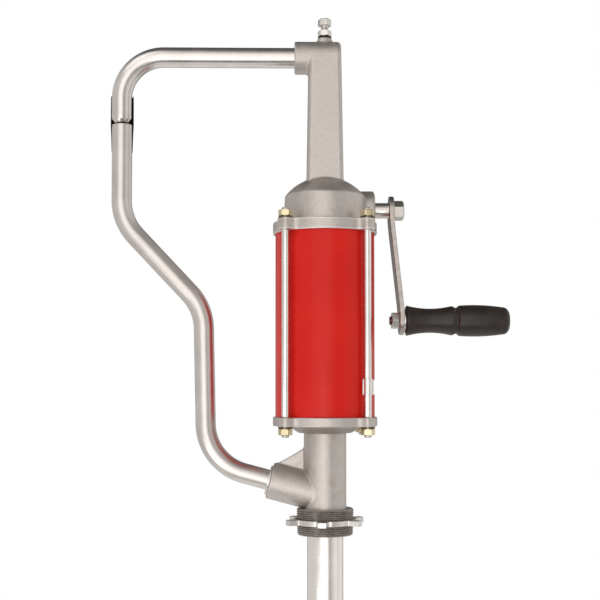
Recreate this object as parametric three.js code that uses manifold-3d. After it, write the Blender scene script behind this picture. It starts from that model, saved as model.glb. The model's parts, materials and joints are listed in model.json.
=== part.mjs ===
// Hand-cranked drum pump: a rack and pinion lift a piston in a cylinder held between two castings.
// Millimetres, +Z up along the cylinder's axis. The origin is on that axis, at the underside of the
// lock ring, where it rests on the drum's top. The crank is on +X and the spout on -X.
import * as THREE from "three";
import { mergeVertices } from "three/addons/utils/BufferGeometryUtils.js";
import Module from "manifold-3d";

const wasm = await Module();
wasm.setup();

// ---------------------------------------------------------------- driving dimensions

const GAP = 0.3; // left between pieces that meet on turned or faceted faces
const BORE_GAP = 0.12; // left between round pieces on one axis
const LARGE = 40; // sides of a round as wide as the cylinder
const MEDIUM = 24;
const SMALL = 16;
const TINY = 8;

const BUNG = { radius: 30.15, root: 29.0, pitch: 2.209, bottom: -11.7, top: 16.6, lip: 3.2 };
const RING = { thickness: 5.9, bodyRadius: 33, lugRadius: 43.4, lugs: 6, lugWidth: 8.8, rootWidth: 13.2 };
const RING_TURN = THREE.MathUtils.degToRad(-6.5); // of the front lug from -Y
const NECK = { radius: 22.5, bore: 20.8, bottom: BUNG.bottom + BUNG.lip, top: 92 };
const SUCTION = { radius: 19, wall: 1.3, top: 84, seat: 58, bottom: -432 };
const EXTENSION = { radius: 16.9, wall: 1.2, top: -30, bottom: -462 };
const FOOT = { radius: 20.5, top: -448, seat: -462, seatThickness: 6, bottom: -480, end: -500 };

const BASE_FLANGE = { radius: 54.9, bottom: 102.6, top: 112.2 };
const HEAD_FLANGE = { radius: 54.9, bottom: 304.4, top: 316.6 };
const CYLINDER = { radius: 52.3, bore: 50.8, inset: 3, gasket: 1 };
const ROD = { offset: 42, radius: 4, lug: 7.2, hole: 4.3 };
const NUT = { flats: 13, height: 6.4, washer: 1.8, proud: 2.6, clearance: 8.8 };

const DOME = { radius: 53.4, centre: 312.4, wall: 43.5, thickness: 4.5 };
const COLUMN = { foot: 338, footWidth: 39.3, topWidth: 34.3, corner: 5.5, wall: 4.4 };
const SPOUT = { height: 493.9, radius: 10.65, wall: 1.8, drop: -215.4, bend: 44.5, mouth: 422.8 };
const BARREL = { radius: 17.2, left: -32.2, right: 16.6 };
const STOP = { pad: 514.9, seal: 2.2, locknut: 6.2, head: 528.6, headHeight: 7.3, tip: 469.5 };
const STOP_HOLE = ROD.radius + BORE_GAP;

const SHAFT = { y: 20, z: 333.6, radius: 8.5, left: -27.5, right: 69.7, square: 12 };
const BOSS = { radius: 20.8, face: 54 };
const GEAR = { module: 2, teeth: 14, width: 16, addendum: 1.6, backlash: 0.3 };
const STROKE = 117;
const RACK = { width: 16, back: -7, bottom: 132, top: STOP.tip - 0.5 - STROKE };
const PISTON = { bottom: 119, top: 127, radius: 49.6, cup: 50.2, stud: 7 };

const ARM = { thickness: 5, inner: 69.7, gripInner: 80.4, gripZ: 214.8, eye: 15.4 };
const GRIP = { start: 87.6, end: 199 };

const RETURN_TILT = THREE.MathUtils.degToRad(15);
const RETURN = {
  mouthX: -215, mouthZ: 421, neckEnd: 319, legX: -128.2, legZ: 226.6, footX: -124.6, radius: 10.65,
  wall: 1.8, bend: 55, boss: 19.15,
};
const RETURN_MOUTH = new THREE.Vector3(-58.3, 0, 45.8); // centre of the return boss's open face
const RETURN_IN = new THREE.Vector3(Math.cos(RETURN_TILT), 0, -Math.sin(RETURN_TILT));

const X = new THREE.Vector3(1, 0, 0);
const Y = new THREE.Vector3(0, 1, 0);
const Z = new THREE.Vector3(0, 0, 1);

// ---------------------------------------------------------------- materials

const FINISHES = {
  casting: { color: 0x9c928a, roughness: 0.5, metalness: 0.85 },
  plated: { color: 0xc4c2be, roughness: 0.28, metalness: 1 },
  steel: { color: 0x8f8a85, roughness: 0.4, metalness: 1 },
  red: { color: 0xd2150f, roughness: 0.22, metalness: 0 },
  zinc: { color: 0xc2b07a, roughness: 0.4, metalness: 0.9 },
  black: { color: 0x16130f, roughness: 0.35, metalness: 0 },
  rubber: { color: 0x1b1b1b, roughness: 0.8, metalness: 0 },
  iron: { color: 0x35302d, roughness: 0.55, metalness: 0.7 },
  brass: { color: 0xb08d48, roughness: 0.35, metalness: 1 },
};

// ---------------------------------------------------------------- solids

// A closed three.js geometry as a manifold-3d solid.
function solid(geometry) {
  const shell = geometry.clone();
  shell.deleteAttribute("normal");
  shell.deleteAttribute("uv");
  const merged = mergeVertices(shell, 1e-4);
  const corners = merged.index.array;
  const kept = [];
  for (let i = 0; i < corners.length; i += 3) {
    const [a, b, c] = corners.slice(i, i + 3);
    if (a !== b && b !== c && c !== a) kept.push(a, b, c);
  }
  const vertProperties = merged.attributes.position.array;
  return new wasm.Manifold(new wasm.Mesh({ numProp: 3, vertProperties, triVerts: new Uint32Array(kept) }));
}

function geometryOf(body) {
  const mesh = body.getMesh();
  const geometry = new THREE.BufferGeometry();
  geometry.setAttribute("position", new THREE.BufferAttribute(mesh.vertProperties, 3));
  geometry.setIndex(new THREE.BufferAttribute(mesh.triVerts, 1));
  geometry.computeVertexNormals();
  return geometry;
}

const join = (...bodies) => bodies.reduce((whole, next) => whole.add(next));
const cut = (body, ...tools) => tools.reduce((rest, tool) => rest.subtract(tool), body);

// A ring or a solid of revolution about Z from [radius, height] points, in either order.
function turned(profile, sides) {
  const twiceArea = profile.reduce((sum, [r, h], i) => {
    const [nextR, nextH] = profile[(i + 1) % profile.length];
    return sum + r * nextH - nextR * h;
  }, 0);
  const ordered = twiceArea > 0 ? profile : [...profile].reverse();
  const points = ordered.map(([r, h]) => new THREE.Vector2(r, h));
  const onAxis = points[0].x === 0 && points.at(-1).x === 0;
  if (!onAxis) points.push(points[0].clone());
  return new THREE.LatheGeometry(points, sides).rotateX(Math.PI / 2);
}

// Moves a shape made about Z so that its Z runs along a direction from a place.
function aimed(geometry, place, direction) {
  const turn = new THREE.Quaternion().setFromUnitVectors(Z, direction);
  return geometry.applyQuaternion(turn).translate(place.x, place.y, place.z);
}

const at = (x, y, z) => new THREE.Vector3(x, y, z);
const ring = (inner, outer, low, high, sides = MEDIUM) =>
  solid(turned([[inner, low], [outer, low], [outer, high], [inner, high]], sides));
const rod = (radius, low, high, sides = MEDIUM) =>
  solid(turned([[0, low], [radius, low], [radius, high], [0, high]], sides));
const barAlong = (direction, place, radius, from, to, sides = MEDIUM) =>
  solid(aimed(turned([[0, from], [radius, from], [radius, to], [0, to]], sides), place, direction));
const ringAlong = (direction, place, inner, outer, from, to, sides = MEDIUM) => {
  const profile = [[inner, from], [outer, from], [outer, to], [inner, to]];
  return solid(aimed(turned(profile, sides), place, direction));
};

// Points of an arc in a turned profile, its angles in degrees from the outward radius.
function arc(radius, centreHeight, fromDegrees, toDegrees, steps, centreRadius = 0) {
  return Array.from({ length: steps + 1 }, (_, i) => {
    const angle = THREE.MathUtils.degToRad(fromDegrees + ((toDegrees - fromDegrees) * i) / steps);
    return [centreRadius + radius * Math.cos(angle), centreHeight + radius * Math.sin(angle)];
  });
}

function outline(points) {
  return new THREE.Shape(points.map(([x, y]) => new THREE.Vector2(x, y)));
}

function extruded(shape, depth, curveSegments = 8) {
  return new THREE.ExtrudeGeometry(shape, { depth, bevelEnabled: false, curveSegments });
}

// A plate seen from the front: its outline in X and Z, its thickness centred on Y = 0.
function frontPlate(points, thickness) {
  return extruded(outline(points), thickness).translate(0, 0, -thickness / 2).rotateX(Math.PI / 2);
}

// A plate seen from the side: its outline in Y and Z, its thickness from a start along +X.
function sidePlate(shape, start, thickness, curveSegments) {
  const turn = new THREE.Matrix4().makeBasis(Y, Z, X);
  return extruded(shape, thickness, curveSegments).applyMatrix4(turn).translate(start, 0, 0);
}

function block(width, depth, height, x, y, z) {
  return solid(new THREE.BoxGeometry(width, depth, height).translate(x, y, z));
}

function polygon(radius, corners, startAngle = 0) {
  return Array.from({ length: corners }, (_, i) => {
    const angle = startAngle + (2 * Math.PI * i) / corners;
    return [radius * Math.cos(angle), radius * Math.sin(angle)];
  });
}

// A hexagon nut or head standing on Z = 0, chamfered on its upper end or on both.
function hexagon(flats, height, bothEnds = true) {
  const corner = flats / Math.sqrt(3);
  const land = flats / 2 - 0.3;
  const drop = (corner - land) * Math.tan(Math.PI / 6);
  const low = bothEnds ? [[0, 0], [land, 0], [corner + 0.1, drop]] : [[0, 0], [corner + 0.1, 0]];
  const envelope = turned([...low, [corner + 0.1, height - drop], [land, height], [0, height]], 12);
  return solid(extruded(outline(polygon(corner, 6)), height)).intersect(solid(envelope));
}

// A path of straight legs joined by arcs of one radius in the plane Y = 0. Its samples stand at the
// legs' ends and round each arc, so a sweep along it has no needless rings on the straights.
class BentPath extends THREE.Curve {
  constructor(corners, bendRadius, degreesPerStep = 11) {
    super();
    const points = corners.map(([x, z]) => at(x, 0, z));
    this.stations = [];
    const add = (point, tangent) => this.stations.push({ point, tangent });
    points.forEach((corner, i) => {
      const arrive = i > 0 ? corner.clone().sub(points[i - 1]).normalize() : null;
      const leave = i < points.length - 1 ? points[i + 1].clone().sub(corner).normalize() : null;
      if (!arrive || !leave) {
        add(corner, arrive ?? leave);
        return;
      }
      const bend = arrive.angleTo(leave);
      const setback = bendRadius * Math.tan(bend / 2);
      const inward = leave.clone().sub(arrive).normalize();
      const centre = corner.clone().addScaledVector(inward, bendRadius / Math.cos(bend / 2));
      const start = corner.clone().addScaledVector(arrive, -setback);
      const axis = arrive.clone().cross(leave).normalize();
      const steps = Math.ceil(THREE.MathUtils.radToDeg(bend) / degreesPerStep);
      for (let k = 0; k <= steps; k++) {
        const angle = (bend * k) / steps;
        const point = start.clone().sub(centre).applyAxisAngle(axis, angle).add(centre);
        add(point, arrive.clone().applyAxisAngle(axis, angle));
      }
    });
  }
  get steps() {
    return this.stations.length - 1;
  }
  station(share) {
    return this.stations[Math.round(share * this.steps)];
  }
  getPoint(share, target = new THREE.Vector3()) {
    return target.copy(this.station(share).point);
  }
  getPointAt(share, target) {
    return this.getPoint(share, target);
  }
  getTangentAt(share, target = new THREE.Vector3()) {
    return target.copy(this.station(share).tangent);
  }
}

function swept(corners, bendRadius, radius, sides = 12) {
  const extrudePath = new BentPath(corners, bendRadius);
  const section = outline(polygon(radius, sides));
  return solid(new THREE.ExtrudeGeometry(section, { steps: extrudePath.steps, extrudePath }));
}

// The corners of a path with its two ends pushed out, for the bore of a bent tube.
function lengthened(corners, by = 1) {
  const shift = ([x, z], [fromX, fromZ]) => {
    const length = Math.hypot(x - fromX, z - fromZ);
    return [x + ((x - fromX) * by) / length, z + ((z - fromZ) * by) / length];
  };
  return [shift(corners[0], corners[1]), ...corners.slice(1, -1), shift(corners.at(-1), corners.at(-2))];
}

// ---------------------------------------------------------------- castings

const ROD_PLACES = [
  [-ROD.offset, -ROD.offset],
  [ROD.offset, -ROD.offset],
  [ROD.offset, ROD.offset],
  [-ROD.offset, ROD.offset],
];

// The lugs that carry the tie rods, each a round end on a neck that runs in to the flange.
function rodLugs(low, high) {
  const reach = ROD.offset * Math.SQRT2;
  const shape = new THREE.Shape();
  shape.moveTo(reach - 14, -ROD.lug);
  shape.lineTo(reach, -ROD.lug);
  shape.absarc(reach, 0, ROD.lug, -Math.PI / 2, Math.PI / 2);
  shape.lineTo(reach - 14, ROD.lug);
  return ROD_PLACES.map(([x, y]) => {
    const lug = extruded(shape, high - low, 6).rotateZ(Math.atan2(y, x));
    return solid(lug.translate(0, 0, low));
  });
}

const rodHoles = (low, high) =>
  ROD_PLACES.map(([x, y]) => rod(ROD.hole, low - 1, high + 1, TINY).translate([x, y, 0]));

const cylinderGroove = (low, high) => ring(CYLINDER.bore - 0.2, CYLINDER.radius + 0.2, low, high, LARGE);

function baseCasting() {
  const { radius, bottom, top } = BASE_FLANGE;
  const body = solid(turned([
    [0, NECK.bottom], [NECK.radius, NECK.bottom], [NECK.radius, NECK.top], [24, 94.6], [28.6, 95.6],
    [39, bottom], [radius, bottom], [radius, top], [0, top],
  ], LARGE));
  const aboveThread = block(200, 100, 100, 0, 0, BUNG.top + GAP + 50);
  const boss = barAlong(RETURN_IN, RETURN_MOUTH, RETURN.boss, 0, 58).intersect(aboveThread);
  const web = solid(frontPlate([
    [-52, 56], [-47.6, 64.6], [-34.2, 71.2], [-22, 79.5], [-16, 79.5], [-16, 38], [-44, 42],
  ], 5));
  const neckBore = rod(NECK.bore, NECK.bottom - 1, SUCTION.seat);
  const tubeSeat = rod(SUCTION.radius + BORE_GAP, SUCTION.seat - 1, SUCTION.top);
  const inlet = rod(SUCTION.radius - 3, SUCTION.top - 1, top + 1);
  const bushBore = barAlong(RETURN_IN, RETURN_MOUTH, 13.3, -1, 16.9);
  const tubeBore = barAlong(RETURN_IN, RETURN_MOUTH, RETURN.radius + GAP, 16, 24.4);
  const drain = barAlong(RETURN_IN, RETURN_MOUTH, 8, 24, 43, SMALL);
  const seat = cylinderGroove(top - CYLINDER.inset - CYLINDER.gasket, top + 1);
  return cut(
    join(body, ...rodLugs(bottom, top), boss, web),
    neckBore, tubeSeat, inlet, bushBore, tubeBore, drain, seat, ...rodHoles(bottom, top),
  );
}

// A square section with rounded corners whose width falls evenly with height.
function taperedColumn(lowWidth, highWidth, corner, low, high) {
  const half = lowWidth / 2;
  const inner = half - corner;
  const shape = new THREE.Shape();
  shape.absarc(inner, inner, corner, 0, Math.PI / 2);
  shape.absarc(-inner, inner, corner, Math.PI / 2, Math.PI);
  shape.absarc(-inner, -inner, corner, Math.PI, 1.5 * Math.PI);
  shape.absarc(inner, -inner, corner, 1.5 * Math.PI, 2 * Math.PI);
  const geometry = extruded(shape, high - low, 3).translate(0, 0, low);
  const place = geometry.attributes.position;
  for (let i = 0; i < place.count; i++) {
    const share = (place.getZ(i) - low) / (high - low);
    const scale = 1 + share * (highWidth / lowWidth - 1);
    place.setXY(i, place.getX(i) * scale, place.getY(i) * scale);
  }
  return solid(geometry);
}

// The dome's outline from the flange up to its top, grown inwards by a wall thickness.
function domeProfile(bottom, inset) {
  const wall = DOME.wall - inset;
  const sphere = DOME.radius - inset;
  const meet = THREE.MathUtils.radToDeg(Math.acos(wall / sphere));
  return [[0, bottom], [wall, bottom], ...arc(sphere, DOME.centre, meet, 90, 5).slice(0, -1),
    [0, DOME.centre + sphere]];
}

function headCasting() {
  const { radius, bottom, top } = HEAD_FLANGE;
  const shaftAxis = at(0, SHAFT.y, SHAFT.z);
  const spoutAxis = at(0, 0, SPOUT.height);
  const dome = solid(turned(domeProfile(bottom + 1, 0), LARGE));
  const column = taperedColumn(COLUMN.footWidth, COLUMN.topWidth, COLUMN.corner, COLUMN.foot, SPOUT.height);
  const barrelEnd = 2.5;
  const barrel = solid(aimed(turned([
    [0, BARREL.left], [BARREL.radius - 1.5, BARREL.left], [BARREL.radius, BARREL.left + 1.5],
    [BARREL.radius, BARREL.right - barrelEnd], [BARREL.radius - barrelEnd, BARREL.right], [0, BARREL.right],
  ], MEDIUM), spoutAxis, X));
  const pad = solid(turned([[0, 500], [9.6, 508], [7.4, STOP.pad], [0, STOP.pad]], SMALL));
  const boss = solid(aimed(turned([
    [0, 20], [BOSS.radius, 20], [BOSS.radius, BOSS.face - 2], [BOSS.radius - 2, BOSS.face], [0, BOSS.face],
  ], MEDIUM), shaftAxis, X));
  const flange = join(rod(radius, bottom, top, LARGE), ...rodLugs(bottom, top));
  const outside = join(flange, dome, column, barrel, pad, boss);

  const chamber = solid(turned(domeProfile(bottom - 1, DOME.thickness), MEDIUM));
  const wall = 2 * COLUMN.wall;
  const shaftWell = taperedColumn(COLUMN.footWidth - wall, COLUMN.topWidth - wall, 2.5, COLUMN.foot, 498);
  const leftBearing = barAlong(X, shaftAxis, 14.5, -41, -13, SMALL).intersect(dome);
  const rightBearing = barAlong(X, shaftAxis, 15.5, 13, 40, SMALL);
  const hollowed = join(cut(outside, chamber, shaftWell), leftBearing, rightBearing);

  const nutSpace = rod(NUT.clearance, top, top + 14, TINY);
  const nutClearance = ROD_PLACES.map(([x, y]) => nutSpace.translate([x, y, 0]));
  return cut(
    hollowed,
    barAlong(X, shaftAxis, 11.7, SHAFT.left - 0.7, -12),
    barAlong(X, shaftAxis, 11.7, 12, 49),
    barAlong(X, shaftAxis, 13.3, 48.4, BOSS.face + 1),
    barAlong(X, spoutAxis, SPOUT.radius + GAP, BARREL.left - 1, -15.7),
    barAlong(X, spoutAxis, SPOUT.radius - SPOUT.wall, -16, 2, TINY),
    rod(STOP_HOLE, 490, STOP.pad + 1, TINY),
    cylinderGroove(bottom - 1, bottom + CYLINDER.inset + CYLINDER.gasket),
    ...rodHoles(bottom, top),
    ...nutClearance,
  );
}

// ---------------------------------------------------------------- bung and suction side

function bungAdaptor() {
  const { radius, root, pitch, bottom, top, lip } = BUNG;
  const threads = [];
  for (let z = bottom + pitch; z + pitch < top - 1; z += pitch) {
    threads.push([radius, z], [root, z + pitch / 2]);
  }
  return solid(turned([
    [NECK.bore - 0.2, bottom], [root - 1, bottom], ...threads,
    [radius, top - 1.4], [radius - 1.4, top],
    [NECK.radius + GAP, top], [NECK.radius + GAP, bottom + lip], [NECK.bore - 0.2, bottom + lip],
  ], MEDIUM));
}

function lockRing() {
  const shape = new THREE.Shape();
  const span = (2 * Math.PI) / RING.lugs;
  const lugHalf = Math.asin(RING.lugWidth / 2 / RING.lugRadius);
  const rootHalf = Math.asin(RING.rootWidth / 2 / RING.bodyRadius);
  for (let i = 0; i < RING.lugs; i++) {
    const middle = -Math.PI / 2 + RING_TURN + i * span;
    const corners = [
      [RING.bodyRadius, -rootHalf], [RING.lugRadius, -lugHalf], [RING.lugRadius + 0.6, 0],
      [RING.lugRadius, lugHalf], [RING.bodyRadius, rootHalf],
      [RING.bodyRadius - 0.6, span / 2],
    ];
    for (const [r, offset] of corners) {
      const point = [r * Math.cos(middle + offset), r * Math.sin(middle + offset)];
      if (shape.curves.length === 0 && i === 0 && offset === -rootHalf) shape.moveTo(...point);
      else shape.lineTo(...point);
    }
  }
  const hole = rod((BUNG.radius + BORE_GAP) / Math.cos(Math.PI / MEDIUM), -1, RING.thickness + 1);
  return solid(extruded(shape, RING.thickness)).subtract(hole);
}

const suctionTube = () =>
  ring(SUCTION.radius - SUCTION.wall, SUCTION.radius, SUCTION.bottom, SUCTION.top);

const extensionTube = () =>
  ring(EXTENSION.radius - EXTENSION.wall, EXTENSION.radius, EXTENSION.bottom, EXTENSION.top);

// A rubber collar over the outer tube's end that grips the inner tube.
function suctionSeal() {
  const grip = EXTENSION.radius + BORE_GAP;
  const over = SUCTION.radius + BORE_GAP;
  const end = SUCTION.bottom;
  return solid(turned([
    [grip, end - 8], [21.4, end - 8], [22, end - 6], [22, end + 8], [21, end + 10],
    [over, end + 10], [over, end], [grip, end],
  ], MEDIUM));
}

function footValveBody() {
  const { radius, top, seat, seatThickness, bottom } = FOOT;
  const socket = EXTENSION.radius + BORE_GAP;
  return solid(turned([
    [9, seat - seatThickness], [17, bottom], [radius - 1, bottom], [radius, bottom + 2],
    [radius, top - 2], [radius - 1, top], [socket, top], [socket, seat], [9, seat],
  ], MEDIUM));
}

function footStrainer() {
  const { radius, bottom, end } = FOOT;
  const wall = 1.6;
  const cup = solid(turned([
    [0, end], [radius - 3, end], [radius - 0.5, end + 2.5], [radius - 0.5, bottom],
    [radius - 0.5 - wall, bottom], [radius - 0.5 - wall, end + wall], [0, end + wall],
  ], MEDIUM));
  const slots = [0, 1, 2, 3].map((i) =>
    block(2 * radius + 4, 5, 11, 0, 0, (bottom + end) / 2 + 0.5).rotate([0, 0, 45 * i + 22.5]));
  return cut(cup, ...slots);
}

const footValveDisc = () => ring(0, 13, FOOT.seat, FOOT.seat + 2.2, 24);

// ---------------------------------------------------------------- cylinder and tie rods

const cylinderWall = () => ring(
  CYLINDER.bore, CYLINDER.radius,
  BASE_FLANGE.top - CYLINDER.inset, HEAD_FLANGE.bottom + CYLINDER.inset, LARGE);

const gasket = (low) => ring(CYLINDER.bore, CYLINDER.radius, low, low + CYLINDER.gasket, LARGE);

const ROD_BOTTOM = BASE_FLANGE.bottom - NUT.washer - NUT.height - NUT.proud;
const ROD_TOP = HEAD_FLANGE.top + NUT.washer + NUT.height + NUT.proud;

function tieRod() {
  const tip = ROD.radius - 0.8;
  return solid(turned([
    [0, ROD_BOTTOM], [tip, ROD_BOTTOM], [ROD.radius, ROD_BOTTOM + 0.8],
    [ROD.radius, ROD_TOP - 0.8], [tip, ROD_TOP], [0, ROD_TOP],
  ], TINY));
}

const hexNut = () => hexagon(NUT.flats, NUT.height).subtract(rod(ROD.radius + BORE_GAP, -1, 9, TINY));

function toothedWasher() {
  const teeth = 8;
  const points = polygon(1, 2 * teeth).map(([x, y], i) => {
    const radius = i % 2 ? 6.3 : 7.3;
    return [x * radius, y * radius];
  });
  const hole = rod(ROD.radius + BORE_GAP, -1, 3, TINY);
  return solid(extruded(outline(points), NUT.washer)).subtract(hole);
}

// A sheet clip snapped round the front right rod, with a tab that points outwards.
function rodClip() {
  const inner = ROD.radius + BORE_GAP;
  const shape = new THREE.Shape();
  const opening = THREE.MathUtils.degToRad(40);
  shape.absarc(0, 0, inner + 1.1, opening - Math.PI / 2, 1.5 * Math.PI - opening);
  shape.absarc(0, 0, inner, 1.5 * Math.PI - opening, opening - Math.PI / 2, true);
  const loop = solid(extruded(shape, 17, 7)).rotate([0, 0, 240]);
  const tab = block(8.2, 1.1, 15, 8.6, 1.4, 8);
  return join(loop, tab.intersect(block(30, 30, 40, 15 + inner + 0.4, 0, 8)));
}

// ---------------------------------------------------------------- rack, pinion and crank

const PITCH_RADIUS = (GEAR.module * GEAR.teeth) / 2;

// An involute pinion about Z, with a tooth centred on the -Y side.
function pinion() {
  const pressure = THREE.MathUtils.degToRad(20);
  const base = PITCH_RADIUS * Math.cos(pressure);
  const tip = PITCH_RADIUS + GEAR.module;
  const root = PITCH_RADIUS - GEAR.addendum - 0.5;
  const involute = (radius) => {
    const angle = Math.acos(Math.min(1, base / radius));
    return Math.tan(angle) - angle;
  };
  const halfPitch = Math.PI / GEAR.teeth / 2 - GEAR.backlash / (2 * PITCH_RADIUS);
  const halfAt = (radius) => halfPitch + involute(PITCH_RADIUS) - involute(radius);
  const flank = [base, 14.4, tip];
  const points = [];
  for (let i = 0; i < GEAR.teeth; i++) {
    const middle = Math.PI + (2 * Math.PI * i) / GEAR.teeth;
    const left = [[root, -halfAt(base)], ...flank.map((r) => [r, -halfAt(r)])];
    const right = left.map(([r, offset]) => [r, -offset]).reverse();
    for (const [r, offset] of [...left, ...right]) {
      points.push([r * Math.cos(middle + offset), r * Math.sin(middle + offset)]);
    }
  }
  const gear = solid(sidePlate(outline(points), -GEAR.width / 2, GEAR.width));
  const hole = barAlong(X, at(0, SHAFT.y, SHAFT.z), SHAFT.radius + BORE_GAP, -9, 9, SMALL);
  return gear.translate([0, SHAFT.y, SHAFT.z]).subtract(hole);
}

// The toothed piston rod: teeth face +Y, with a gap between two teeth at the pinion's height.
function rack() {
  const pitch = Math.PI * GEAR.module;
  const pitchLine = SHAFT.y - PITCH_RADIUS;
  const tip = pitchLine + GEAR.addendum;
  const root = pitchLine - GEAR.module - 0.4;
  const slope = Math.tan(THREE.MathUtils.degToRad(20));
  const half = (y) => pitch / 4 - (y - pitchLine) * slope - GEAR.backlash / 4;
  const profile = [[RACK.back, RACK.top], [RACK.back, RACK.bottom], [tip - 1, RACK.bottom]];
  const firstTooth = Math.ceil((-STROKE - 18) / pitch);
  const lastTooth = Math.floor((RACK.top - SHAFT.z) / pitch - 1);
  for (let i = firstTooth; i <= lastTooth; i++) {
    const middle = SHAFT.z + (i + 0.5) * pitch;
    if (i === firstTooth) profile.push([tip - 1, middle - half(tip - 1)], [tip, middle - half(tip)]);
    else profile.push([root, middle - half(root)], [tip, middle - half(tip)]);
    profile.push([tip, middle + half(tip)], [root, middle + half(root)]);
  }
  profile.push([root, RACK.top]);
  const bar = solid(sidePlate(outline(profile), -RACK.width / 2, RACK.width));
  return join(bar, rod(PISTON.stud, 111.8, RACK.bottom + 2, SMALL));
}

function pinionShaft() {
  const axis = at(0, SHAFT.y, SHAFT.z);
  const { radius, left, right, square } = SHAFT;
  const round = solid(aimed(turned([
    [0, left], [radius - 1, left], [radius, left + 1], [radius, right], [0, right],
  ], SMALL), axis, X));
  const tang = block(ARM.thickness, square, square, right + ARM.thickness / 2 - GAP, SHAFT.y, SHAFT.z);
  return join(round, tang).subtract(barAlong(X, axis, 5.1, 48, 80, TINY));
}

const bush = (from, to) =>
  ringAlong(X, at(0, SHAFT.y, SHAFT.z), SHAFT.radius + 0.3, 11.6, from, to);

// A cranked flat bar: upright at both eyes, leaning outwards between them.
function crankArm() {
  const { thickness, inner, gripInner, gripZ, eye } = ARM;
  const high = SHAFT.z + eye;
  const low = gripZ - eye;
  const side = [[inner, high], [inner, SHAFT.z - 14], [gripInner, gripZ + 14], [gripInner, low]];
  const profile = [...side, ...side.map(([x, z]) => [x + thickness, z]).reverse()];
  const bar = solid(frontPlate(profile, 3 * eye)).translate([0, SHAFT.y, 0]);
  const plan = new THREE.Shape();
  plan.absarc(SHAFT.y, SHAFT.z, eye, 0, Math.PI);
  plan.absarc(SHAFT.y, gripZ, eye, Math.PI, 2 * Math.PI);
  const flat = bar.intersect(solid(sidePlate(plan, inner - 5, 40, 8)));
  const square = SHAFT.square + GAP;
  return cut(
    flat,
    block(3 * thickness, square, square, inner, SHAFT.y, SHAFT.z),
    barAlong(X, at(0, SHAFT.y, gripZ), 5.2, gripInner - 2, gripInner + 8, TINY),
  );
}

function crankBolt() {
  const seat = ARM.inner + ARM.thickness;
  const hexagonal = hexagon(19, 11.6, false).rotate([0, 0, 16]);
  const head = aimedSolid(hexagonal, at(seat, SHAFT.y, SHAFT.z), X);
  return join(head, barAlong(X, at(0, SHAFT.y, SHAFT.z), 4.95, 50, seat + 1, TINY));
}

// A solid made about Z, turned to stand along a direction from a place.
const aimedSolid = (body, place, direction) => solid(aimed(geometryOf(body), place, direction));

function grip() {
  const { start, end } = GRIP;
  const outside = [
    [15.2, start], [16.2, start + 1.4], [14.5, start + 9], [13.2, start + 19], [13.1, start + 28],
    [13.9, start + 38], [15.6, start + 48], [14.1, start + 54], [16.2, start + 57.5], [17, start + 67],
    [16.9, start + 81], [15.7, start + 96], [14.4, start + 106], [9.8, end],
  ];
  const inside = [[9.2, end], [9.2, end - 12], [5.6, end - 12], [5.6, start]];
  return solid(aimed(turned([...outside, ...inside], SMALL), at(0, SHAFT.y, ARM.gripZ), X));
}

function gripBolt() {
  const axis = at(0, SHAFT.y, ARM.gripZ);
  const seat = GRIP.end - 12 + BORE_GAP;
  const head = aimedSolid(hexagon(14, 6, false), at(seat, SHAFT.y, ARM.gripZ), X);
  return join(head, barAlong(X, axis, 5, 70.2, seat + 1, TINY));
}

const gripNut = () => {
  const nut = hexagon(17, 8).rotate([0, 0, 30]).subtract(rod(5 + BORE_GAP, -1, 11, TINY));
  return aimedSolid(nut, at(ARM.gripInner - 8, SHAFT.y, ARM.gripZ), X);
};

const gripWasher = () => ringAlong(
  X, at(0, SHAFT.y, ARM.gripZ), 5 + BORE_GAP, 10.5, ARM.gripInner + ARM.thickness, GRIP.start - 0.2, SMALL);

// ---------------------------------------------------------------- piston

function pistonBody() {
  const disc = ring(PISTON.stud + GAP, PISTON.radius, PISTON.bottom, PISTON.top);
  const port = rod(4.6, PISTON.bottom - 1, PISTON.top + 1, TINY);
  const ports = polygon(21, 6).map(([x, y]) => port.translate([x, y, 0]));
  return cut(disc, ...ports);
}

// A cup seal: a flat ring with a lip, standing up from a face or hanging below it.
function cup(face, direction) {
  const height = (h) => face + direction * h;
  return solid(turned([
    [33, height(0)], [PISTON.cup - 0.8, height(0)], [PISTON.cup, height(0.8)], [PISTON.cup, height(6.4)],
    [48.7, height(6.4)], [48.7, height(2)], [33, height(2)],
  ], MEDIUM));
}

const valveDisc = () => ring(PISTON.stud + 0.6, 30, PISTON.top, PISTON.top + 1.6);

const pistonNut = () => {
  const nut = hexagon(24, 6.4).subtract(rod(PISTON.stud + BORE_GAP, -1, 8, SMALL));
  return nut.translate([0, 0, PISTON.bottom - 6.4]);
};

// ---------------------------------------------------------------- spout and return tube

function spoutTube() {
  const { height, radius, wall, drop, bend, mouth } = SPOUT;
  const neck = mouth + 5.6;
  const corners = [[-16, height], [drop, height], [drop, neck]];
  const nozzle = turned([[0, mouth], [7.6, mouth], [radius, neck], [radius, neck + 1], [0, neck + 1]], 12);
  const bore = turned([
    [0, mouth - 1], [6.2, mouth - 1], [6.2, neck - 3], [radius - wall, neck + 1], [0, neck + 1],
  ], 12);
  const outside = join(swept(corners, bend, radius), solid(nozzle.translate(drop, 0, 0)));
  return cut(outside, swept(lengthened(corners), bend, radius - wall), solid(bore.translate(drop, 0, 0)));
}

function returnTube() {
  const { mouthX, mouthZ, neckEnd, legX, legZ, footX, radius, wall, bend } = RETURN;
  const end = RETURN_MOUTH.clone().addScaledVector(RETURN_IN, 24);
  const turnZ = RETURN_MOUTH.z + (RETURN_MOUTH.x - footX) * Math.tan(RETURN_TILT);
  const corners = [[mouthX, mouthZ], [mouthX, neckEnd], [legX, legZ], [footX, turnZ], [end.x, end.z]];
  return cut(swept(corners, bend, radius), swept(lengthened(corners), bend, radius - wall));
}

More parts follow.
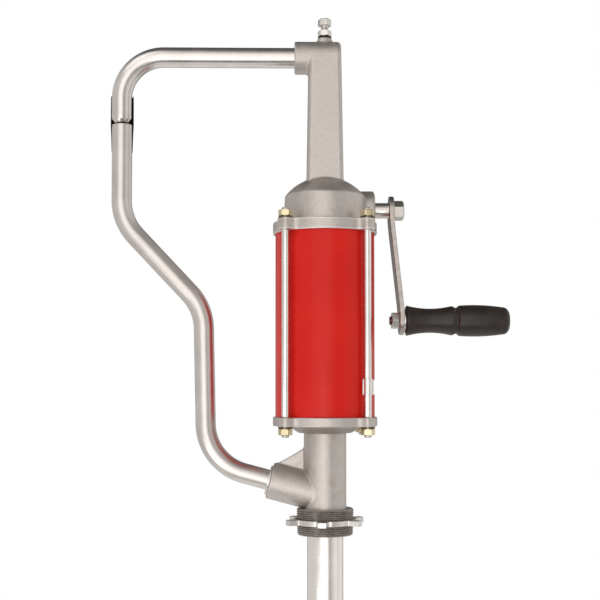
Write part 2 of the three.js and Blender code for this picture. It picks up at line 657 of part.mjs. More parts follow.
const returnBush = () => solid(aimed(turned([
  [RETURN.radius + 0.25, -1.9], [15.25, -1.9], [15.25, -0.1], [13, -0.1], [13, 13],
  [RETURN.radius + 0.25, 13],
], MEDIUM), RETURN_MOUTH, RETURN_IN));

const returnSeal = () =>
  ringAlong(RETURN_IN, RETURN_MOUTH, RETURN.radius + 0.25, 13, 13.3, 16.6);

// A half sleeve on the return tube's mouth. It reaches up behind the spout's tip, open to the front.
function nozzleCatch() {
  const sleeve = solid(turned([
    [RETURN.radius + GAP, 392], [11.2, 392], [11.6, 406], [12.2, 421], [12.2, 452], [11.4, 452], [11.4, 422],
    [RETURN.radius + GAP, 416],
  ], MEDIUM));
  return sleeve.intersect(block(40, 20, 80, 0, 10, 425)).translate([RETURN.mouthX, 0, 0]);
}

// ---------------------------------------------------------------- stroke stop

function stopScrew() {
  const head = hexagon(NUT.flats, STOP.headHeight).rotate([0, 0, 15]).translate([0, 0, STOP.head]);
  return join(head, rod(ROD.radius, STOP.tip, STOP.head + 1, TINY));
}

const stopSeal = () => solid(turned([
  [ROD.radius + 0.4, STOP.pad], [6.7, STOP.pad], [7.3, STOP.pad + 0.7], [7.3, STOP.pad + 1.5],
  [6.7, STOP.pad + STOP.seal], [ROD.radius + 0.4, STOP.pad + STOP.seal],
], SMALL));

const stopLocknut = () => hexagon(NUT.flats, STOP.locknut)
  .rotate([0, 0, 20])
  .subtract(rod(STOP_HOLE, -1, 8, TINY))
  .translate([0, 0, STOP.pad + STOP.seal]);

// ---------------------------------------------------------------- assembly

const pump = new THREE.Group();

function add(name, finish, body, place = [0, 0, 0]) {
  const mesh = new THREE.Mesh(geometryOf(body), new THREE.MeshStandardMaterial(FINISHES[finish]));
  mesh.name = name;
  mesh.position.set(...place);
  pump.add(mesh);
}

add("base_casting", "casting", baseCasting());
add("bung_adaptor", "iron", bungAdaptor());
add("lock_ring", "plated", lockRing());
add("suction_tube", "plated", suctionTube());
add("suction_tube_inner", "plated", extensionTube());
add("suction_seal", "rubber", suctionSeal());
add("foot_valve_body", "brass", footValveBody());
add("foot_valve_disc", "rubber", footValveDisc());
add("foot_strainer", "plated", footStrainer());

add("cylinder", "red", cylinderWall());
add("base_gasket", "rubber", gasket(BASE_FLANGE.top - CYLINDER.inset - CYLINDER.gasket));
add("head_gasket", "rubber", gasket(HEAD_FLANGE.bottom + CYLINDER.inset));
add("head_casting", "casting", headCasting());

ROD_PLACES.forEach(([x, y], i) => {
  const number = i + 1;
  const topNut = HEAD_FLANGE.top + NUT.washer;
  const bottomNut = BASE_FLANGE.bottom - NUT.washer - NUT.height;
  add(`tie_rod_${number}`, "plated", tieRod(), [x, y, 0]);
  add(`top_washer_${number}`, "steel", toothedWasher(), [x, y, HEAD_FLANGE.top]);
  add(`top_nut_${number}`, "zinc", hexNut(), [x, y, topNut]);
  add(`bottom_washer_${number}`, "steel", toothedWasher(), [x, y, BASE_FLANGE.bottom - NUT.washer]);
  add(`bottom_nut_${number}`, "zinc", hexNut(), [x, y, bottomNut]);
});
add("rod_clip", "plated", rodClip(), [ROD.offset, -ROD.offset, 135]);

add("pinion_shaft", "steel", pinionShaft());
add("pinion", "steel", pinion());
add("shaft_bush_inner", "brass", bush(SHAFT.left, -13));
add("shaft_bush_outer", "brass", bush(14, 48));
add("shaft_seal", "rubber", ringAlong(X, at(0, SHAFT.y, SHAFT.z), SHAFT.radius + 0.3, 13.2, 48.6, 53.4));
add("crank_arm", "steel", crankArm());
add("crank_bolt", "steel", crankBolt());
add("grip", "black", grip());
add("grip_bolt", "steel", gripBolt());
add("grip_nut", "plated", gripNut());
add("grip_washer", "plated", gripWasher());

add("rack", "steel", rack());
add("piston_body", "iron", pistonBody());
add("piston_cup_upper", "rubber", cup(PISTON.top, 1));
add("piston_cup_lower", "rubber", cup(PISTON.bottom, -1));
add("piston_nut", "steel", pistonNut());
add("piston_valve_disc", "brass", valveDisc());

add("spout_tube", "plated", spoutTube());
add("return_tube", "plated", returnTube());
add("return_tube_bush", "plated", returnBush());
add("return_tube_seal", "rubber", returnSeal());
add("nozzle_catch", "rubber", nozzleCatch());

add("stop_screw", "plated", stopScrew());
add("stop_screw_locknut", "plated", stopLocknut());
add("stop_screw_seal", "rubber", stopSeal());

export default pump;
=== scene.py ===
"""Looks for the hand-cranked drum pump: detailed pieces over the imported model, a pale studio and a camera.

Lengths in the shape code are millimetres in the model's own frame; a piece is scaled to metres as it is made.
"""
import json
import math

import bmesh
import bpy
import numpy as np
from mathutils import Matrix, Vector


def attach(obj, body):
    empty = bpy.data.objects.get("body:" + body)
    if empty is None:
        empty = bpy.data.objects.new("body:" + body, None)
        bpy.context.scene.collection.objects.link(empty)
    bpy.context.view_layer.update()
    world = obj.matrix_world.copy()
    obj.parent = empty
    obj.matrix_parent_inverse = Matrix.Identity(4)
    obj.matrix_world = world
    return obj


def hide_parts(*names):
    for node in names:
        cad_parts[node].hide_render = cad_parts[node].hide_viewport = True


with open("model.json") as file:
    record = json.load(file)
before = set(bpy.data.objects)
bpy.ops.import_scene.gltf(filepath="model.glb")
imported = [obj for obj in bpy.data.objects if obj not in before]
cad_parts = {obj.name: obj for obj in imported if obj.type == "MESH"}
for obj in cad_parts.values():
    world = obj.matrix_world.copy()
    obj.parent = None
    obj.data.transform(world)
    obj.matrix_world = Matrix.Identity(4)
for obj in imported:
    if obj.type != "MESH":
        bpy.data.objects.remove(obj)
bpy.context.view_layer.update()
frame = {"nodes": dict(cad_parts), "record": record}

MM = 0.001
ROUND = 96  # sides of a round as wide as a tube or more
FINE = 48  # sides of a small round

# ---------------------------------------------------------------- dimensions, as in the CAD model

ROD_OFFSET = 42
ROD_PLACES = [(ROD_OFFSET * a, ROD_OFFSET * b) for a, b in ((-1, -1), (1, -1), (1, 1), (-1, 1))]
NUT_FLATS, NUT_HEIGHT, WASHER = 13.0, 6.4, 1.8
BASE_LOW, BASE_HIGH = 102.6, 112.2
HEAD_LOW, HEAD_HIGH = 304.4, 316.6
FLANGE_RADIUS = 54.9
BORE, CYLINDER_RADIUS = 50.8, 52.3
DOME_Z, DOME_RADIUS = 312.4, 53.4
BUNG_PITCH = 2.209
SHAFT_Y, SHAFT_Z = 20.0, 333.6
GRIP_Z = 214.8
SPOUT_Z, SPOUT_X = 493.9, -215.4
RETURN_X = -215.0
TUBE_RADIUS, TUBE_WALL = 10.65, 1.8
MOUTH = np.array([-58.3, 0.0, 45.8])  # the return boss's open face
TILT = math.radians(15)
INWARD = np.array([math.cos(TILT), 0.0, -math.sin(TILT)])

# ---------------------------------------------------------------- procedural finishes

FINISHES = {}


class Nodes:
    """A material's node tree with short calls for the nodes that the finishes share."""

    def __init__(self, name):
        self.material = bpy.data.materials.new(name)
        self.material.use_nodes = True
        self.tree = self.material.node_tree
        self.shader = self.tree.nodes["Principled BSDF"]
        self.place = self.add("ShaderNodeTexCoord").outputs["Object"]

    def add(self, kind, **settings):
        node = self.tree.nodes.new(kind)
        for key, value in settings.items():
            setattr(node, key, value)
        return node

    def put(self, socket, value):
        if isinstance(value, bpy.types.NodeSocket):
            self.tree.links.new(value, socket)
        else:
            socket.default_value = value

    def stretched(self, scale):
        node = self.add("ShaderNodeMapping")
        self.put(node.inputs["Vector"], self.place)
        node.inputs["Scale"].default_value = scale
        return node.outputs["Vector"]

    def noise(self, size, detail=3.0, rough=0.55, along=None):
        """Noise whose blobs are about size millimetres wide."""
        node = self.add("ShaderNodeTexNoise")
        self.put(node.inputs["Vector"], self.stretched(along) if along else self.place)
        node.inputs["Scale"].default_value = 1.0 / (size * MM)
        node.inputs["Detail"].default_value = detail
        node.inputs["Roughness"].default_value = rough
        return node.outputs["Fac"]

    def spread(self, value, low, high, to_low, to_high):
        node = self.add("ShaderNodeMapRange")
        self.put(node.inputs["Value"], value)
        for key, number in zip(("From Min", "From Max", "To Min", "To Max"), (low, high, to_low, to_high)):
            node.inputs[key].default_value = number
        return node.outputs["Result"]

    def math(self, operation, a, b):
        node = self.add("ShaderNodeMath", operation=operation)
        self.put(node.inputs[0], a)
        self.put(node.inputs[1], b)
        return node.outputs["Value"]

    def mixed(self, share, a, b):
        node = self.add("ShaderNodeMix", data_type="RGBA")
        self.put(node.inputs["Factor"], share)
        self.put(node.inputs["A"], (*a, 1.0) if isinstance(a, tuple) else a)
        self.put(node.inputs["B"], (*b, 1.0) if isinstance(b, tuple) else b)
        return node.outputs["Result"]

    def bump(self, height, depth, below=None):
        """Bump whose full height difference is depth millimetres."""
        node = self.add("ShaderNodeBump")
        self.put(node.inputs["Height"], height)
        node.inputs["Distance"].default_value = depth * MM
        if below:
            self.put(node.inputs["Normal"], below)
        return node.outputs["Normal"]

    def edges(self, low=0.52, high=0.60):
        """Near 1 on worn outer edges."""
        return self.spread(self.add("ShaderNodeNewGeometry").outputs["Pointiness"], low, high, 0.0, 1.0)

    def finish(self, colour, roughness, normal=None, metallic=1.0, **shader):
        inputs = self.shader.inputs
        self.put(inputs["Base Color"], (*colour, 1.0) if isinstance(colour, tuple) else colour)
        self.put(inputs["Roughness"], roughness)
        inputs["Metallic"].default_value = metallic
        if normal:
            self.put(inputs["Normal"], normal)
        for key, value in shader.items():
            inputs[key.replace("_", " ")].default_value = value
        return self.material


def cast_aluminium():
    n = Nodes("cast_aluminium")
    mottle = n.noise(9, 4)
    cloud = n.noise(38, 2)
    grain = n.noise(0.85, 2, 0.6)
    speckle = n.noise(1.5, 2, 0.7)
    colour = n.mixed(n.spread(mottle, 0.35, 0.65, 0, 1), (0.55, 0.50, 0.465), (0.63, 0.585, 0.55))
    colour = n.mixed(n.spread(cloud, 0.38, 0.62, 0, 0.55), colour, (0.61, 0.565, 0.535))
    colour = n.mixed(n.spread(speckle, 0.38, 0.66, 0.26, 0), colour, (0.42, 0.375, 0.34))
    colour = n.mixed(n.spread(speckle, 0.58, 0.72, 0, 0.2), colour, (0.80, 0.77, 0.74))
    colour = n.mixed(n.math("MULTIPLY", n.edges(), 0.3), colour, (0.74, 0.71, 0.68))
    height = n.add("ShaderNodeSeparateXYZ")
    n.put(height.inputs[0], n.place)
    from_base = n.math("ABSOLUTE", n.math("SUBTRACT", height.outputs["Z"], 0.1074), 0)
    from_head = n.math("ABSOLUTE", n.math("SUBTRACT", height.outputs["Z"], 0.3105), 0)
    from_middle = n.math("MINIMUM", from_base, from_head)  # of the nearer flange, in metres
    on_flange = n.spread(from_middle, 0.0066, 0.0070, 1, 0)
    faced = n.math("MULTIPLY", on_flange, n.spread(from_middle, 0.0040, 0.0050, 0, 0.6))
    colour = n.mixed(faced, colour, (0.86, 0.82, 0.78))
    # painted shade: a dark band round the flare just under the base flange, where the flange shades it
    flare = n.math("ABSOLUTE", n.math("SUBTRACT", height.outputs["Z"], 0.0986), 0)
    colour = n.mixed(n.spread(flare, 0.0034, 0.0042, 0.7, 0), colour, (0.36, 0.325, 0.295))
    roughness = n.spread(n.math("ADD", mottle, grain), 0.75, 1.25, 0.38, 0.54)
    skin = n.bump(n.noise(5.5, 3), 0.16)
    skin = n.bump(grain, 0.12, skin)
    return n.finish(colour, roughness, skin, metallic=0.92)


def plated(name, light, dark, rough_low, rough_high, streak=(1, 1, 1), depth=0.012):
    """Bright plating: faint clouding, and fine marks that run along the streak's small axis."""
    n = Nodes(name)
    cloud = n.noise(22, 3, 0.5)
    marks = n.noise(0.9, 1, 0.5, along=streak)
    colour = n.mixed(n.spread(cloud, 0.3, 0.7, 0, 1), dark, light)
    colour = n.mixed(n.spread(marks, 0.55, 0.75, 0, 0.3), colour, dark)
    roughness = n.spread(n.math("ADD", cloud, marks), 0.8, 1.25, rough_low, rough_high)
    skin = n.bump(marks, depth)
    skin = n.bump(n.noise(6, 1), depth * 1.6, skin)
    return n.finish(colour, roughness, skin)


def red_enamel():
    n = Nodes("red_paint")
    cloud = n.noise(60, 2)
    colour = n.mixed(n.spread(cloud, 0.35, 0.65, 0, 1), (0.66, 0.014, 0.009), (0.72, 0.019, 0.012))
    peel = n.bump(n.noise(2.4, 2, 0.5), 0.008)
    peel = n.bump(n.noise(17, 1), 0.03, peel)
    roughness = n.spread(n.noise(5, 3), 0.4, 0.65, 0.20, 0.29)
    return n.finish(colour, roughness, peel, metallic=0.0, Specular_IOR_Level=0.18)


def black_grip():
    n = Nodes("black_grip")
    grain = n.noise(1.1, 3, 0.6)
    colour = n.mixed(n.spread(n.noise(16, 3), 0.4, 0.65, 0, 1), (0.022, 0.016, 0.0125), (0.032, 0.024, 0.019))
    colour = n.mixed(n.math("MULTIPLY", n.edges(0.53, 0.62), 0.35), colour, (0.08, 0.07, 0.062))
    roughness = n.spread(grain, 0.35, 0.7, 0.30, 0.42)
    skin = n.bump(grain, 0.022)
    skin = n.bump(n.noise(9, 2), 0.05, skin)
    return n.finish(colour, roughness, skin, metallic=0.0, Specular_IOR_Level=0.42)


def rubber():
    n = Nodes("black_rubber")
    grain = n.noise(0.6, 3, 0.65)
    colour = n.mixed(n.spread(n.noise(6, 3), 0.4, 0.7, 0, 1), (0.012, 0.012, 0.012), (0.026, 0.025, 0.024))
    return n.finish(colour, n.spread(grain, 0.3, 0.7, 0.55, 0.8), n.bump(grain, 0.05), metallic=0.0)


def dark_iron():
    n = Nodes("dark_iron")
    cloud = n.noise(5, 4)
    grain = n.noise(0.5, 2)
    colour = n.mixed(n.spread(cloud, 0.35, 0.65, 0, 1), (0.25, 0.222, 0.205), (0.36, 0.325, 0.30))
    colour = n.mixed(n.math("MULTIPLY", n.edges(0.5, 0.56), 0.6), colour, (0.55, 0.51, 0.48))
    return n.finish(colour, n.spread(cloud, 0.3, 0.7, 0.3, 0.46), n.bump(grain, 0.03), metallic=0.85)


def brass():
    n = Nodes("brass")
    rings = n.noise(0.5, 2, 0.5, along=(1, 1, 6))
    colour = n.mixed(n.spread(n.noise(7, 3), 0.35, 0.65, 0, 1), (0.62, 0.45, 0.19), (0.76, 0.60, 0.31))
    return n.finish(colour, n.spread(rings, 0.3, 0.7, 0.22, 0.36), n.bump(rings, 0.02))


def steel(name, light, dark, rough_low, rough_high, grain_size):
    n = Nodes(name)
    scale = n.noise(6, 4, 0.6)
    grain = n.noise(grain_size, 2)
    colour = n.mixed(n.spread(scale, 0.35, 0.65, 0, 1), dark, light)
    colour = n.mixed(n.math("MULTIPLY", n.edges(), 0.6), colour, (0.72, 0.70, 0.67))
    roughness = n.spread(n.math("ADD", scale, grain), 0.75, 1.25, rough_low, rough_high)
    return n.finish(colour, roughness, n.bump(grain, 0.03, n.bump(scale, 0.06)))


FINISHES["cast_aluminium"] = cast_aluminium()
ALONG_TUBE, ALONG_ROD, ALONG_SHAFT = (1, 1, 0.3), (1, 1, 0.2), (0.3, 1, 1)
PLATINGS = {  # light and dark colour, lowest and highest roughness, run of the marks, depth of the marks
    "plated_tube": ((0.76, 0.72, 0.69), (0.67, 0.63, 0.60), 0.20, 0.29, ALONG_TUBE, 0.006),
    "satin_tube": ((0.73, 0.685, 0.655), (0.64, 0.595, 0.565), 0.30, 0.37, ALONG_TUBE, 0.006),
    # painted light: a brightened copy of the tube plating, standing in for light on the suction tubes
    "lit_pale_tube": ((0.95, 0.905, 0.875), (0.87, 0.82, 0.785), 0.22, 0.29, ALONG_TUBE, 0.005),
    "bright_zinc": ((0.88, 0.845, 0.815), (0.80, 0.765, 0.735), 0.20, 0.28, ALONG_ROD, 0.005),
    "ring_zinc": ((0.80, 0.765, 0.735), (0.69, 0.655, 0.625), 0.27, 0.36, (1, 1, 1), 0.006),
    "dull_zinc": ((0.74, 0.70, 0.67), (0.60, 0.56, 0.53), 0.24, 0.34, (1, 1, 1), 0.01),
    # painted shade: the yellow zinc darkened for the washers, which sit in shade between nut and flange
    "shaded_washer_zinc": ((0.34, 0.29, 0.19), (0.20, 0.165, 0.11), 0.24, 0.36),
    "yellow_zinc": ((0.80, 0.70, 0.48), (0.60, 0.50, 0.30), 0.20, 0.30),
    "ground_steel": ((0.62, 0.58, 0.55), (0.50, 0.465, 0.435), 0.14, 0.2, ALONG_SHAFT, 0.006),
}
for plating, settings in PLATINGS.items():
    FINISHES[plating] = plated(plating, *settings)
FINISHES["oiled_steel"] = steel("oiled_steel", (0.30, 0.27, 0.25), (0.2, 0.18, 0.165), 0.24, 0.36, 0.6)
FINISHES["machined_steel"] = steel(
    "machined_steel", (0.50, 0.455, 0.42), (0.36, 0.32, 0.29), 0.26, 0.40, 0.6)
FINISHES["red_paint"] = red_enamel()
FINISHES["black_grip"] = black_grip()
FINISHES["black_rubber"] = rubber()
FINISHES["dark_iron"] = dark_iron()
FINISHES["brass"] = brass()

# ---------------------------------------------------------------- making pieces


def piece(name, verts, faces, slot, body, *nodes, sharp=32, normals=None, finish=None):
    """A mesh piece from points in millimetres, riding on a body and standing for its CAD nodes."""
    verts = np.asarray(verts, float) * MM
    mesh = bpy.data.meshes.new(name)
    mesh.from_pydata(verts.tolist(), [], [tuple(f) for f in faces])
    if normals is None:
        shape = bmesh.new()
        shape.from_mesh(mesh)
        bmesh.ops.remove_doubles(shape, verts=shape.verts, dist=1e-7)
        bmesh.ops.dissolve_degenerate(shape, edges=shape.edges, dist=1e-8)
        bmesh.ops.recalc_face_normals(shape, faces=shape.faces)
        shape.to_mesh(mesh)
        shape.free()
    mesh.shade_smooth()
    if normals is None:
        mesh.set_sharp_from_angle(angle=math.radians(sharp))
    else:
        mesh.normals_split_custom_set_from_vertices(normals.tolist())
    thing = bpy.data.objects.new(name, mesh)
    bpy.context.scene.collection.objects.link(thing)
    mesh.materials.append(FINISHES[finish or slot])
    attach(thing, body)
    if nodes:
        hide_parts(*nodes)
    return thing


def placed(verts, origin=(0, 0, 0), direction=(0, 0, 1), turn=0.0):
    """Points made about Z, turned about it in degrees, then stood along a direction from an origin."""
    spin = Matrix.Rotation(math.radians(turn), 3, "Z")
    lean = Vector((0, 0, 1)).rotation_difference(Vector(direction)).to_matrix()
    return np.asarray(verts) @ np.array(lean @ spin).T + np.asarray(origin, float)


def rounded_profile(points, steps=3):
    """A profile with its corners rounded: (r, h) stays sharp and (r, h, radius) becomes a short curve."""
    result = []
    count = len(points)
    for i, point in enumerate(points):
        corner = np.array(point[:2], float)
        if len(point) < 3:
            result.append(tuple(corner))
            continue
        before = np.array(points[i - 1][:2], float) - corner
        after = np.array(points[(i + 1) % count][:2], float) - corner
        a, b = before / np.linalg.norm(before), after / np.linalg.norm(after)
        half = math.acos(max(-1.0, min(1.0, float(a @ b)))) / 2
        reach = point[2] / math.tan(half)
        centre = corner + (a + b) / np.linalg.norm(a + b) * point[2] / math.sin(half)
        start, end = corner + a * reach - centre, corner + b * reach - centre
        for k in range(steps + 1):
            mix = start * (1 - k / steps) + end * k / steps
            result.append(tuple(centre + mix / np.linalg.norm(mix) * point[2]))
    return result


def polar(profile_at, angles):
    """A closed solid from a closed profile of (r, h) for each angle about Z."""
    rings = np.array([profile_at(a) for a in angles], float)
    count, size = rings.shape[:2]
    c, s = np.cos(angles)[:, None], np.sin(angles)[:, None]
    verts = np.stack([rings[..., 0] * c, rings[..., 0] * s, rings[..., 1]], -1).reshape(-1, 3)
    i, j = np.meshgrid(np.arange(count), np.arange(size), indexing="ij")
    i2, j2 = (i + 1) % count, (j + 1) % size
    faces = np.stack([i * size + j, i2 * size + j, i2 * size + j2, i * size + j2], -1).reshape(-1, 4)
    if np.allclose(rings[:, [0, -1], 0], 0):
        faces = faces[(j.ravel() != size - 1)]
    return verts, faces


def circle(sides):
    return np.arange(sides) * 2 * math.pi / sides


def lathe(points, sides=ROUND, steps=3):
    profile = rounded_profile(points, steps)
    return polar(lambda a: profile, circle(sides))


def hexagon(flats, height, bore=0.0, chamfer=(True, True), soft=0.35):
    """A hexagon standing on Z = 0 with turned chamfers, softened corners and an optional bore."""
    per_side = 8
    land = flats / 2 - 0.25
    edge = 0.12

    def profile_at(angle):
        within = (angle + math.pi / 6) % (math.pi / 3) - math.pi / 6
        flat = flats / 2 / math.cos(within)
        corner = flats / math.sqrt(3) - soft * 0.35
        reach = -math.log(math.exp(-flat / soft * 4) + math.exp(-corner / soft * 4)) * soft / 4
        drop = max(0.02, (reach - land) * math.tan(math.pi / 6))
        low = drop if chamfer[0] else 0.02
        high = height - (drop if chamfer[1] else 0.02)
        inner = [(bore + edge, 0), (bore + edge, height)] if bore else [(0, 0), (0, height)]
        rim = [(land, 0), (reach, low), (reach, high), (land, height)]
        walls = [(bore, height - edge), (bore, edge)] if bore else []
        return [inner[0], *rim, inner[1], *walls]

    return polar(profile_at, circle(6 * per_side))


def thread_wave(z, angle, pitch):
    """0 on a thread's crest and 1 at its root, on a right-hand helix."""
    phase = (z / pitch - angle / (2 * math.pi)) % 1.0
    return np.clip(abs(phase - 0.5) * 2 * 1.25 - 0.12, 0, 1)


def screw(radius, low, high, threads, pitch, depth, bore=0.0, chamfer=0.8, sides=FINE, lip=None, taper=0.0):
    """A round bar or sleeve whose outside carries a helical thread between each pair of heights."""
    step = pitch / 8
    stops = {low, low + chamfer, high - chamfer, high}
    for start, end in threads:
        stops.update(np.arange(start, end, step).tolist())
        stops.add(end)
    heights = np.array(sorted(h for h in stops if low <= h <= high))

    def profile_at(angle):
        out = radius - taper * (high - heights)
        for start, end in threads:
            fade = np.clip(np.minimum(heights - start, end - heights) / (pitch * 0.5) + 0.05, 0, 1)
            out = out - depth * thread_wave(heights, angle, pitch) * fade
        ends = chamfer - np.minimum(heights - low, high - heights)
        out = np.minimum(out, radius - taper * (high - heights) - ends)
        wall = list(zip(out, heights))
        if lip:
            return [*wall, (lip[0], high), (lip[0], lip[1]), (bore, lip[1]), (bore, low)]
        return [(bore, low), *wall, (bore, high)]

    return polar(profile_at, circle(sides))


def both(*shapes):
    """Several closed shapes as the shells of one mesh."""
    verts, faces, start = [], [], 0
    for v, f in shapes:
        verts.append(np.asarray(v))
        faces.extend([tuple(int(i) + start for i in face) for face in f])
        start += len(v)
    return np.concatenate(verts), faces


# ---------------------------------------------------------------- bent tubes


def bent_path(corners, bend_radius, degrees=3.0):
    """Points and directions along straight legs in the plane Y = 0 joined by arcs of one radius."""
    points = [np.array([x, z], float) for x, z in corners]
    stations = []
    for i, corner in enumerate(points):
        arrive = corner - points[i - 1] if i else None
        leave = points[i + 1] - corner if i < len(points) - 1 else None
        arrive = arrive / np.linalg.norm(arrive) if arrive is not None else None
        leave = leave / np.linalg.norm(leave) if leave is not None else None
        if arrive is None or leave is None:
            stations.append((corner, arrive if leave is None else leave))
            continue
        turn = math.acos(float(arrive @ leave))
        side = math.copysign(1.0, arrive[0] * leave[1] - arrive[1] * leave[0])
        start = corner - arrive * bend_radius * math.tan(turn / 2)
        normal = np.array([-arrive[1], arrive[0]]) * side
        centre = start + normal * bend_radius
        steps = max(2, int(math.degrees(turn) / (degrees * 1)))
        for k in range(steps + 1):
            a = turn * k / steps * side
            c, s = math.cos(a), math.sin(a)
            swing = np.array([[c, -s], [s, c]])
            stations.append((centre + swing @ (start - centre), swing @ arrive))
    return stations


def tube(corners, bend_radius, radius, wall, start=(), end=(), sides=FINE):
    """A hollow bent tube. Start and end list (setback, outer radius, inner radius) for shaped ends."""
    stations = bent_path(corners, bend_radius)
    first, last = stations[0], stations[-1]
    rings = [(first[0] + first[1] * s, first[1], ro, ri) for s, ro, ri in start]
    plain = [(p, t, radius, radius - wall) for p, t in stations]
    plain = plain[1:] if start else plain
    plain = plain[:-1] if end else plain
    rings += plain
    rings += [(last[0] - last[1] * s, last[1], ro, ri) for s, ro, ri in end]
    angles = circle(sides)
    loops = []
    for key in (2, 3):
        for ring in rings if key == 2 else rings[::-1]:
            point, along = ring[0], ring[1]
            across = np.array([-along[1], along[0]])
            r = ring[key]
            loop = np.zeros((sides, 3))
            loop[:, 0] = point[0] + across[0] * r * np.cos(angles)
            loop[:, 1] = r * np.sin(angles)
            loop[:, 2] = point[1] + across[1] * r * np.cos(angles)
            loops.append(loop)
    verts = np.concatenate(loops)
    count = len(loops)
    i, j = np.meshgrid(np.arange(count), np.arange(sides), indexing="ij")
    i2, j2 = (i + 1) % count, (j + 1) % sides
    faces = np.stack([i * sides + j, i2 * sides + j, i2 * sides + j2, i * sides + j2], -1).reshape(-1, 4)
    return verts, faces


# ---------------------------------------------------------------- cast shapes from distance fields


def fillet_union(a, b, width):
    blend = np.maximum(width - np.abs(a - b), 0) / width
    return np.minimum(a, b) - blend * blend * width / 4


def fillet_meet(a, b, width):
    return -fillet_union(-a, -b, width)


def less(a, b, width=0.5):
    """a with b taken away, its rim softened."""
    return fillet_meet(a, -b, width)


def thick(plan, height, half, edge):
    """A flat plan distance given a thickness, with rounded edges."""
    a, b = plan + edge, np.abs(height) - half + edge
    return np.minimum(np.maximum(a, b), 0) + np.hypot(np.maximum(a, 0), np.maximum(b, 0)) - edge


def along_axis(x, y, z, origin, direction):
    """Distance along an axis and distance from it."""
    dx, dy, dz = x - origin[0], y - origin[1], z - origin[2]
    t = dx * direction[0] + dy * direction[1] + dz * direction[2]
    r = np.sqrt(np.maximum(dx * dx + dy * dy + dz * dz - t * t, 0))
    return t, r


def bored(shape, x, y, z, origin, direction, radius, start, end, width=0.5):
    t, r = along_axis(x, y, z, origin, direction)
    return less(shape, thick(r - radius, t - (start + end) / 2, (end - start) / 2, 0.2), width)


def flange_plan(x, y):
    """The round flange seen from above, with four radial rod lugs whose sides flow into its edge."""
    ax, ay = np.abs(x), np.abs(y)
    out, side = (ax + ay) / math.sqrt(2), np.abs(ax - ay) / math.sqrt(2)
    corner = 5.0
    a, b = side - 7.4 + corner, out - 66.4 + corner
    lugs = np.hypot(np.maximum(a, 0), np.maximum(b, 0)) + np.minimum(np.maximum(a, b), 0) - corner
    return fillet_union(np.hypot(x, y) - FLANGE_RADIUS, lugs, 8.0)


def rod_holes(x, y):
    return np.hypot(np.abs(x) - ROD_OFFSET, np.abs(y) - ROD_OFFSET) - 4.3


def square_plan(x, y, half, corner):
    qx, qy = np.abs(x) - half + corner, np.abs(y) - half + corner
    return np.hypot(np.maximum(qx, 0), np.maximum(qy, 0)) + np.minimum(np.maximum(qx, qy), 0) - corner


def head_field(x, y, z):
    r = np.hypot(x, y)
    middle, half = (HEAD_LOW + HEAD_HIGH) / 2, (HEAD_HIGH - HEAD_LOW) / 2
    flange = thick(flange_plan(x, y), z - middle, half, 0.9)
    ball = np.sqrt(r * r + (z - DOME_Z) ** 2)
    wall = r - 43.7 + np.clip(z - 315, 0, 40) * 0.045
    dome = fillet_meet(np.maximum(wall, 312 - z), ball - DOME_RADIUS, 0.9)
    share = (z - 338) / (SPOUT_Z - 338)
    rolled = np.hypot(y, np.maximum(z - SPOUT_Z, 0))
    column = np.maximum(square_plan(x, rolled, 19.65 - 2.5 * np.minimum(share, 1), 4.5), 336 - z)
    reach = np.hypot(y, z - SPOUT_Z) - 17.15
    barrel = thick(reach, x + 8, 24.2, 1.5)
    barrel = np.maximum(barrel, x - 8)
    up, far = z - 507.9, r - 9.1 + np.clip(z - 509, 0, 9) * 0.27
    pad = thick(far, up, 7.0, 0.7)
    t, s = along_axis(x, y, z, (0, SHAFT_Y, SHAFT_Z), (1, 0, 0))
    boss = thick(s - 20.8, t - 34.5, 19.5, 3.0)
    body = fillet_union(barrel, column, np.clip((SPOUT_Z - 4 - z) / 8, 0.01, 1) * 3.5)
    body = fillet_union(body, pad, 1.2)
    body = fillet_union(body, fillet_union(dome, boss, 2.4), 2.0)
    body = fillet_union(body, flange, 2.2)
    clear = np.maximum(rod_holes(x, y) - 4.5, np.abs(z - 323.6) - 7)  # room for the nuts
    body = less(body, clear, 0.8)
    chamber = np.maximum(np.maximum(r - 39.1, ball - 48.9), 300 - z)
    well = np.maximum(square_plan(x, y, 15.7 - 2.5 * share, 2.5), np.maximum(z - 498, 330 - z))
    body = less(body, np.minimum(chamber, well))
    inside = np.maximum(np.maximum(s - 15.0, np.abs(np.abs(t) - 27) - 14), dome + 1.0)
    body = np.minimum(body, inside)
    body = bored(body, x, y, z, (0, SHAFT_Y, SHAFT_Z), (1, 0, 0), 11.7, -28.2, -10)
    body = bored(body, x, y, z, (0, SHAFT_Y, SHAFT_Z), (1, 0, 0), 11.7, 10, 49)
    body = bored(body, x, y, z, (0, SHAFT_Y, SHAFT_Z), (1, 0, 0), 13.3, 48.4, 60)
    body = bored(body, x, y, z, (0, 0, SPOUT_Z), (1, 0, 0), 11.0, -40, -15.7)
    body = bored(body, x, y, z, (0, 0, SPOUT_Z), (1, 0, 0), 8.85, -16, 2)
    body = bored(body, x, y, z, (0, 0, 0), (0, 0, 1), 4.2, 490, 522)
    groove = np.maximum(np.abs(r - (BORE + CYLINDER_RADIUS) / 2) - 0.95, z - 308.4)
    return np.maximum(np.maximum(body, -groove), -rod_holes(x, y))


